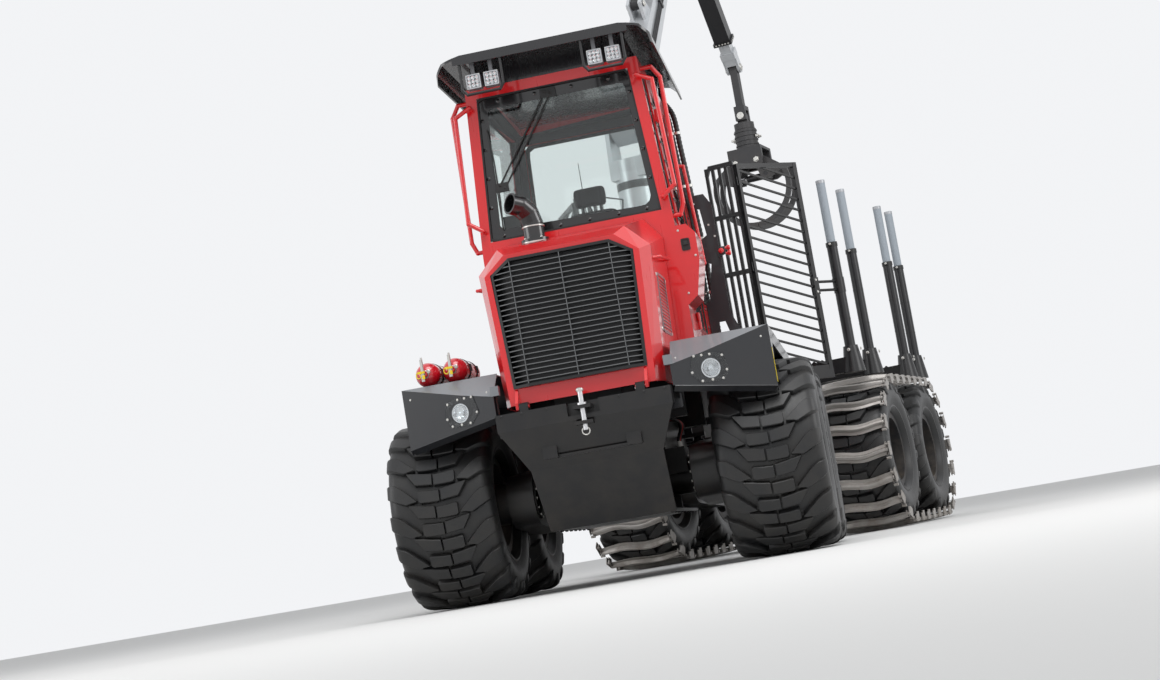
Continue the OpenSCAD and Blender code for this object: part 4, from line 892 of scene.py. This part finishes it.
piece("catch_knobs", [on_axis(knob, at, axis) for at, axis in (
    ((951, 1108, 2440), outboard), ((951, 1108, 2484), outboard), ((920, 1089, 2462), forward))], body_red)

# Fender facets, painted reflection
# The folded upper facet and the bracket block by the hood are the same coat as the fender; the paler grey
# sheet over them is a painted reflection of the bright sky. A yellow reflector strip runs down the outer edge.
grey_and_painted_reflection = machine_paint("grey_and_painted_reflection", (0.20, 0.215, 0.23), 0.3, coat=0.5, dirt=0.05, dirt_top=1.4)


def on_facet(x, y, lift):
    """Height over the facet: 1366 at y = -1620, rising by 194 over 280, plus a lift."""
    return x, y, 1366 + (y + 1620) * 194 / 280 + lift


corners = [(613, -1597), (1289, -1371.5), (1289, -1341), (613, -1341)]
facet = loft([[on_facet(x, y, lift) for x, y in corners] for lift in (0.3, 1.1)])
block = loft([[(x, -1600.6, 1384.4), (x, -1540, 1384.4), (x, -1540, 1450.6), (x, -1600.6, 1450.6)]
              for x in (571.4, 628.6)])
# Thin pale sheets over the facets and blocks: a painted reflection of the sky, not their own colour.
piece("fender_facet_reflections", both_sides([facet, block]), grey_and_painted_reflection, smooth=0.4)
piece("edge_strips", both_sides([bar_part((1290.3, -1352, 1160), (1293.3, -1318, 1400), 0.5)]), pin_yellow)


# Hood fittings
# Air inlets of folded grey slats in the hood's sides, quarter-turn fasteners, and a band clamp with its two
# bolts round the exhaust's foot. A seam ring runs round the elbow above it.
def hood_side(y, z, depth):
    """Place on the hood's flank: its half width runs straight from the foot's to the shoulder's."""
    t = (np.asarray(y, float) + 1450) / 873
    foot, shoulder, top = 556 + 30 * t, 606 + 16 * t, 2235 + 165 * t
    return foot + (shoulder - foot) * (z - 1292) / (top - 1292) + depth, y, z


slat_section = ((0, 0.4), (0, 2), (-10, 8), (-14, 8), (-14, 6), (-4, 0.4))
inlets = [box_frame((-1300, 1640, -880, 2060), 16, (30, 18), 64, 0.3, 7, hood_side)]
inlets += [loft([[hood_side(y, z + dz, depth) for dz, depth in slat_section] for y in (-1284, -896)])
           for z in np.arange(1668, 2040, 24)]
piece("hood_inlets", both_sides(inlets), grey_and_painted_reflection, "hood")
fastener = lathe([(0.2, 0.4), (0.2, 15), (4, 14), (6, 9), (6, 0.4)], 20)
piece("hood_fasteners", both_sides(on_axis(fastener, hood_side(y, z, 0), outboard) for y in (-1330, -850)
                                   for z in (1660, 2040)), zinc_steel, "hood")
pipe_x, pipe_y = -275, -800
piece("exhaust_clamp", [spun([(0, 105.4), (0, 112), (24, 112), (24, 105.4)], (pipe_x, pipe_y, 2478), up, 48),
                        bar_part((-290, -925, 2480), (-260, -906, 2500), 2),
                        sweep([(-305, -915, 2490), (-245, -915, 2490)], 5, 8),
                        spun([(0, 78.4), (2, 83), (10, 83), (12, 78.4)], (pipe_x, pipe_y, 2612), up, 48),
                        bolt((-330, -893, 2523), up, 9), bolt((-212, -883, 2523), up, 9)], zinc_steel, "hood")

# Roof markers
# Two red-orange marker caps, moulded in plastic with a stepped skirt and pushed over the short posts on
# the roof.
marker_orange = machine_paint("marker_orange", (0.78, 0.07, 0.012), 0.3, dirt=0.05)
marker = lathe([(0, 34.3), (0, 37), (10, 37), (12, 33.4), (58, 18.4), (63, 14), (63, 0.4), (62.2, 0.4),
                (62.2, 16.2)], 32)
piece("roof_markers", [on_axis(marker, (x, -640, 3950.2)) for x in (-560, 470)], marker_orange)

# Conduits behind the cab
# Two corrugated plastic conduits carry the crane's cables from the roof down the cab's left rear corner to
# the deck, in clips. Each is 45 mm across and fixed all the way, 2.4 m long by the cab's height.
conduit_black = machine_paint("conduit_black", (0.012, 0.012, 0.013), 0.42, dirt=0.1, dirt_top=2.0)
conduit_heights = (3914, 3810, 3660, 3400, 3100, 2800, 2500, 2200, 1900, 1700, 1574)
conduit_offset, between, conduit_y = 8, 48, 1206
for k in range(2):
    route = curve([(side_x(z) + conduit_offset + between * k - (60 if z > 3800 else 0), conduit_y + 2 * k, z)
                   for z in conduit_heights], 32)
    ridges = 21.5 + 1.8 * np.cos(np.arange(len(route)) * math.pi / 2)
    conduit = piece("conduit_%d" % (k + 1), [sweep(route, ridges, 12)], conduit_black, smooth=1.4)
    place = front_spot(route)
clips, clip_ring = [], lathe([(0, 23.6), (0, 26), (22, 26), (22, 23.6)], 28)
for z in (3500, 3050, 2600, 2150, 1800):
    x = side_x(z)
    clips += [on_axis(clip_ring, (x + conduit_offset + between * k, conduit_y + 2 * k, z)) for k in range(2)]
    clips += [bar_part((x - 40, 1180.3, z), (x - 14, 1200, z + 22), 1)]
piece("conduit_clips", clips, zinc_steel)

# Stakes
# Round black stakes in welded sleeves, with weld rings, zinc bolts through the sleeves and grey steel
# extensions that are clamped by a split collar and capped.
bunk_places, stake_x, sleeve_half, bolt_z = (4083, 4833, 6400, 6930), 1342, 91, 1700
stake_cap = lathe([(-26, 40), (-26, 43.6), (0, 43.6), (3.8, 40), (4.2, 0.4), (0, 0.4)], 32)
stake_rings, stake_bolts, stake_caps = [], [], []
for y in bunk_places:
    for side in (1, -1):
        x = side * stake_x
        stake_rings += [spun([(0, r - 4), (0, r), (h, r), (h, r - 4)], (x, y, z), up, 40)
                        for z, r, h in ((1990, 51.4, 8), (2320, 51.4, 8), (2690, 55, 40))]
        stake_rings += [bar_part((x - 12, y - 74, 2694), (x + 12, y - 52, 2726), 2)]
        stake_caps += [on_axis(stake_cap, (x, y, 3326))]
        stake_bolts += [bolt((x, y - 74.2, 2710), forward, 10), bolt((x, y - sleeve_half, bolt_z), forward, 13),
                        bolt((x + side * sleeve_half, y, bolt_z), (side, 0, 0), 13),
                        bolt((x, y + sleeve_half, bolt_z), (0, 1, 0), 13)]
piece("stake_rings", stake_rings, wiper_black, "rear_frame")
piece("stake_caps", stake_caps, lamp_alloy, "rear_frame")
piece("stake_bolts", stake_bolts, zinc_steel, "rear_frame")

# Gate struts
# Two short bars on each side tie the gate's outer post to the first stake at mid height. A bolted clip holds
# them to the post, a band to the stake.
post, stake, strut_z = np.array((1189.4, 3778.9)), np.array((stake_x, bunk_places[0])), 2320
run = (stake - post) / np.linalg.norm(stake - post)
struts = [sweep([(*(post + run * 24), z), (*(stake - run * 54), z)], 13, 14)
          for z in (strut_z - 40, strut_z + 40)]
struts.append(spun([(-70, 50.6), (-70, 56), (70, 56), (70, 50.6)], (*stake, strut_z), up, 40))
tilt = math.radians(57)
for low, high in ((-27, -22.4), (22.4, 27)):
    points, faces = bar_part((-26, low, -80), (30, high, 80))
    x, y, z = points.T
    struts.append((np.stack([post[0] + x * math.cos(tilt) - y * math.sin(tilt),
                             post[1] + x * math.sin(tilt) + y * math.cos(tilt), z + strut_z], 1), faces))
square = np.array((math.sin(tilt), -math.cos(tilt), 0))
strut_bolts = [bolt((*post, z) + 27 * square, square, 9) for z in (strut_z - 56, strut_z + 56)]
piece("gate_struts", both_sides(struts), frame_black, "rear_frame")
piece("gate_strut_bolts", both_sides(strut_bolts), zinc_steel, "rear_frame")

# Bunk wear strips and bolts
# Toothed strips of flame-cut steel are welded along the bunks and bite into the load. Four bolts hold each
# bunk to the frame.
teeth, bunk_bolts = [], []
for y in bunk_places:
    teeth += [loft([[(x - half, y - 44, z), (x + half, y - 44, z), (x + half, y - 36, z), (x - half, y - 36, z)]
                    for half, z in ((22, 1640.2), (4, 1656))]) for x in np.arange(-1180, 1181, 80)]
    bunk_bolts += [bolt((x, y - 50.2, 1330), forward, 14) for x in (-270, -150, 150, 270)]
piece("bunk_teeth", teeth, frame_black, "rear_frame")
piece("bunk_bolts", bunk_bolts, zinc_steel, "rear_frame")

# Steps
# Sheet steel treads with punched teeth that stand up for grip, three on each side behind the front wheels,
# in the fenders' coat.
tooth = lathe([(0, 0.4), (0, 13), (6, 10), (6, 6), (1, 5), (1, 0.4)], 12)
piece("step_teeth", [on_axis(tooth, (side * x, y, z + 30.2)) for side in (1, -1) for z in (560, 880, 1200)
                     for x in range(890, 1230, 46) for y in range(1540, 1679, 46)], fender_charcoal)

# Crane pins and pipes
# Each crane pin ends in a locking plate with bolts. Steel pipes run along the boom in clamps, the cylinders
# carry their own pipe from port to port, and the black outer boom ends in a bolted flange.
boom_rise, jib_drop = math.radians(47), math.radians(52)
boom_foot, boom_long, jib_long = np.array((2700.0, 3950.0)), 4000, 2080
(boom_way, boom_up), (jib_way, jib_up) = (
    np.array(((math.cos(a), math.sin(a)), (-math.sin(a), math.cos(a)))) for a in (boom_rise, -jib_drop))
elbow = boom_foot + boom_long * boom_way
tip = elbow + jib_long * jib_way


def in_crane(parts, origin, angle):
    """Turns parts drawn along Y by an angle above level about X and moves them to a pin in (y, z)."""
    return [moved(turned(part, angle), (0, *origin)) for part in parts]


def pin_plates(half, radius, at=(0, 0)):
    """Locking plate and three bolts on both ends of a pin along X."""
    plate = lathe([(0.2, 0.5), (0.2, radius), (6, radius), (9, radius - 3), (9, 0.5)], 32)
    end = [moved(plate, (half, *at))]
    end += [bolt((half + 9, at[0] + 0.6 * radius * math.sin(a), at[1] + 0.6 * radius * math.cos(a)), outboard,
                 radius * 0.2) for a in (0.5, 2.6, 4.7)]
    return both_sides(end)


boom_parts = pin_plates(185, 44) + pin_plates(130, 62, (boom_long, 0))
pipes = [sweep([(118, 330, z), (118, 3540, z * 0.8)], 9, 10) for z in (-30, 0, 30)]
clamps = [bar_part((105, y, -48), (132, y + 36, 48), 2) for y in (420, 1200, 1950, 2700, 3450)]
piece("boom_pin_plates", in_crane(boom_parts, boom_foot, boom_rise), zinc_steel, "main_boom")
piece("boom_pipes", in_crane(both_sides(pipes + clamps), boom_foot, boom_rise), boom_black, "main_boom")
flange = box_frame((-106, -98, 106, 98), 17.8, (12, 3), 48, 0, 34, lambda u, v, depth: (u, 1714 + depth, v))
flange_bolts = [bolt((x, 1728, side * 98.2), (0, 0, side), 8) for x in range(-70, 71, 35) for side in (1, -1)]
flange_bolts += both_sides([bolt((106.2, 1730, z), outboard, 8) for z in (-60, -20, 20, 60)])
piece("outer_boom_flange", in_crane([flange], elbow, -jib_drop), boom_black, "outer_boom")
piece("outer_boom_bolts", in_crane(flange_bolts + pin_plates(88, 30, (-319.5, 116.3)), elbow, -jib_drop),
      zinc_steel, "outer_boom")
piece("extension_plates", in_crane(pin_plates(80.4, 42, (jib_long, 0)), elbow, -jib_drop), zinc_steel,
      "extension")
sway_caps = [(points[:, [1, 0, 2]] + (0, tip[0], tip[1] - 550), [f[::-1] for f in faces])
             for points, faces in pin_plates(85.2, 40)]
piece("sway_pin_caps", sway_caps, zinc_steel, "sway_block")
rotator_parts = [bolt((x, y, -704.8), up, 11) for y, x in circle(88, 10)]
rotator_parts += [bolt((x, side * 200.2, -1085), (0, side, 0), 24) for x in (-120, 120) for side in (1, -1)]
rotator_parts += [spun([(0, 0.4), (0, 17), (16, 17), (18, 13), (40, 13), (40, 0.4)], (side * 120, y, -800),
                       (side, 0, 0), 6) for side in (1, -1) for y in (-40, 40)]
piece("rotator_bolts", [moved(part, (0, *tip)) for part in rotator_parts], zinc_steel, "rotator")
band = lathe([(0, 170.3), (0, 173.2), (70, 173.2), (70, 170.3)], 64)
collar = lathe([(0, 170.3), (0, 214), (26, 214), (30, 206), (34, 178), (34, 170.3)], 64)
slew_y = boom_foot[0]
bands = [on_axis(part, (0, slew_y, z)) for part, z in ((band, 3380), (band, 2620), (collar, 1801))]
piece("pillar_bands", bands, boom_black, "crane_pillar")
slew_bolts = [bolt((x, slew_y + y, 1827), up, 11) for y, x in circle(192, 18)]
piece("slew_bolts", slew_bolts, zinc_steel, "crane_pillar")


def barrel_dressing(length, radius):
    """Port blocks, the pipe between them and the ring nut of a cylinder that is drawn along Y from its eye."""
    outer, inner = (rounded(circle(radius + wall, 8), 4, 64) for wall in (12, 8.2))
    nut = rim_plate(outer, inner, 0, 30, lambda u, v, depth: (u, length - 62 + depth, v))
    run = ((170, 2), (172, 22), (200, 26), (length / 2, 26), (length - 150, 26), (length - 122, 22),
           (length - 120, 2))
    pipe = sweep(curve([(0, y, radius + rise) for y, rise in run]), 9, 10)
    return [nut, pipe] + [bar_part((-20, y - 20, radius - 6), (20, y + 20, radius + 16), 3)
                          for y in (172, length - 120)]


lift_pins = np.array((2930.0, 2450.0)), boom_foot + 870 * boom_way - 290 * boom_up
ear = math.radians(160)
jib_pins = (boom_foot + 1620 * boom_way + 260 * boom_up,
            elbow + 340 * math.cos(ear) * jib_way + 340 * math.sin(ear) * jib_up)
for name, (near, far), length, radius, turn in (("lift", lift_pins, 1150, 75, -1),
                                                ("jib", jib_pins, 1500, 65, 1)):
    aim = math.atan2(*(far - near)[::-1])
    dressing = [(points * (turn, 1, turn), faces) for points, faces in barrel_dressing(length, radius)]
    piece(name + "_barrel_dressing", in_crane(dressing, near, aim), boom_black, name + "_barrel")
    piece(name + "_barrel_plates", in_crane(pin_plates(82, 30), near, aim), zinc_steel, name + "_barrel")
for name, side in (("left", 1), ("right", -1)):
    near, far = np.array((side * 480.0, 1000.0)), np.array(swung(side * 420, hinge_y + 200))
    way = (far - near) / np.linalg.norm(far - near)
    aside = side * np.array((way[1], -way[0]))
    parts = []
    for points, faces in barrel_dressing(790, 55):
        x, y, z = points.T
        flat = near + np.outer(y, way) + np.outer(z, aside)
        parts.append((np.column_stack([flat, 945 + x]), faces if side < 0 else [f[::-1] for f in faces]))
    piece("steer_dressing_" + name, parts, boom_black, "steer_barrel_" + name)

# Frame hoses
# Three hydraulic hoses, two black and one red, bow from zinc fittings on the front frame's left side to
# fittings on the bogie axle. Each is a stiff hose of 22 mm, 0.43 to 0.48 m long, fixed at both ends.
hose_black = machine_paint("hose_black", (0.014, 0.014, 0.015), 0.55, dirt=0.25, dirt_top=1.5, grain=0.1)
hose_red = machine_paint("hose_red", (0.36, 0.02, 0.02), 0.5, dirt=0.25, dirt_top=1.5, grain=0.1)
hose_fit = lathe([(0, 0.4), (0, 19), (14, 19), (16, 14), (30, 14), (32, 12.2), (44, 12.2), (44, 0.4)], 6)
hose_ends = []
for k, paint in enumerate((hose_black, hose_red, hose_black)):
    y, end = -420 + 90 * k, -90 + 60 * k
    line = curve([(362, y, 1100), (400, y, 1101), (446, y + 30, 1092), (474, y + 110, 1074),
                  (478, y + 190, 1050), (462, end - 62, 1018), (440, end - 14, 982), (430, end, 950),
                  (430, end, 924)], 6)
    hose = piece("frame_hose_%d" % (k + 1), [sweep(line, 11, 12)], paint, smooth=1.2)
    place = front_spot(line)
    hose_ends += [on_axis(hose_fit, (340.2, y, 1100), outboard), on_axis(hose_fit, (430, end, 900.2))]
piece("hose_fittings", hose_ends, zinc_steel)

# Bogie covers and belly bolts
# Round cast covers with twelve bolts each on the bogie gear cases beside every wheel. Hexagon bolts hold
# the belly plate along both edges and the chin under the grille.
cover = lathe([(0.2, 0.5), (0.2, 150), (8, 150), (12, 144), (12, 0.5)], 48)
covers, cover_bolts = [], []
for end in (-wheel_y, wheel_y):
    for side in (1, -1):
        covers.append(on_axis(cover, (side * 569.8, end, 0), (-side, 0, 0)))
        cover_bolts += [bolt((side * 557.8, end + y, z), (-side, 0, 0), 9) for z, y in circle(132, 12)]
for name, y, z in (("front", 0, tyre_r), ("rear", rear_y, rear_z)):
    for stem, parts, paint in (("_bogie_covers", covers, frame_black),
                               ("_bogie_bolts", cover_bolts, zinc_steel)):
        piece(name + stem, [moved(part, (0, y, z)) for part in parts], paint, name + "_frame")
belly = [bolt((side * 410, y, 419.8), (0, 0, -1), 12) for side in (1, -1) for y in range(-1120, 281, 200)]
chin = [bolt((x, -1716.3, 1226), forward, 8) for x in (-560, -420, -250, 250, 420, 560)]
piece("belly_bolts", belly + chin, frame_black)
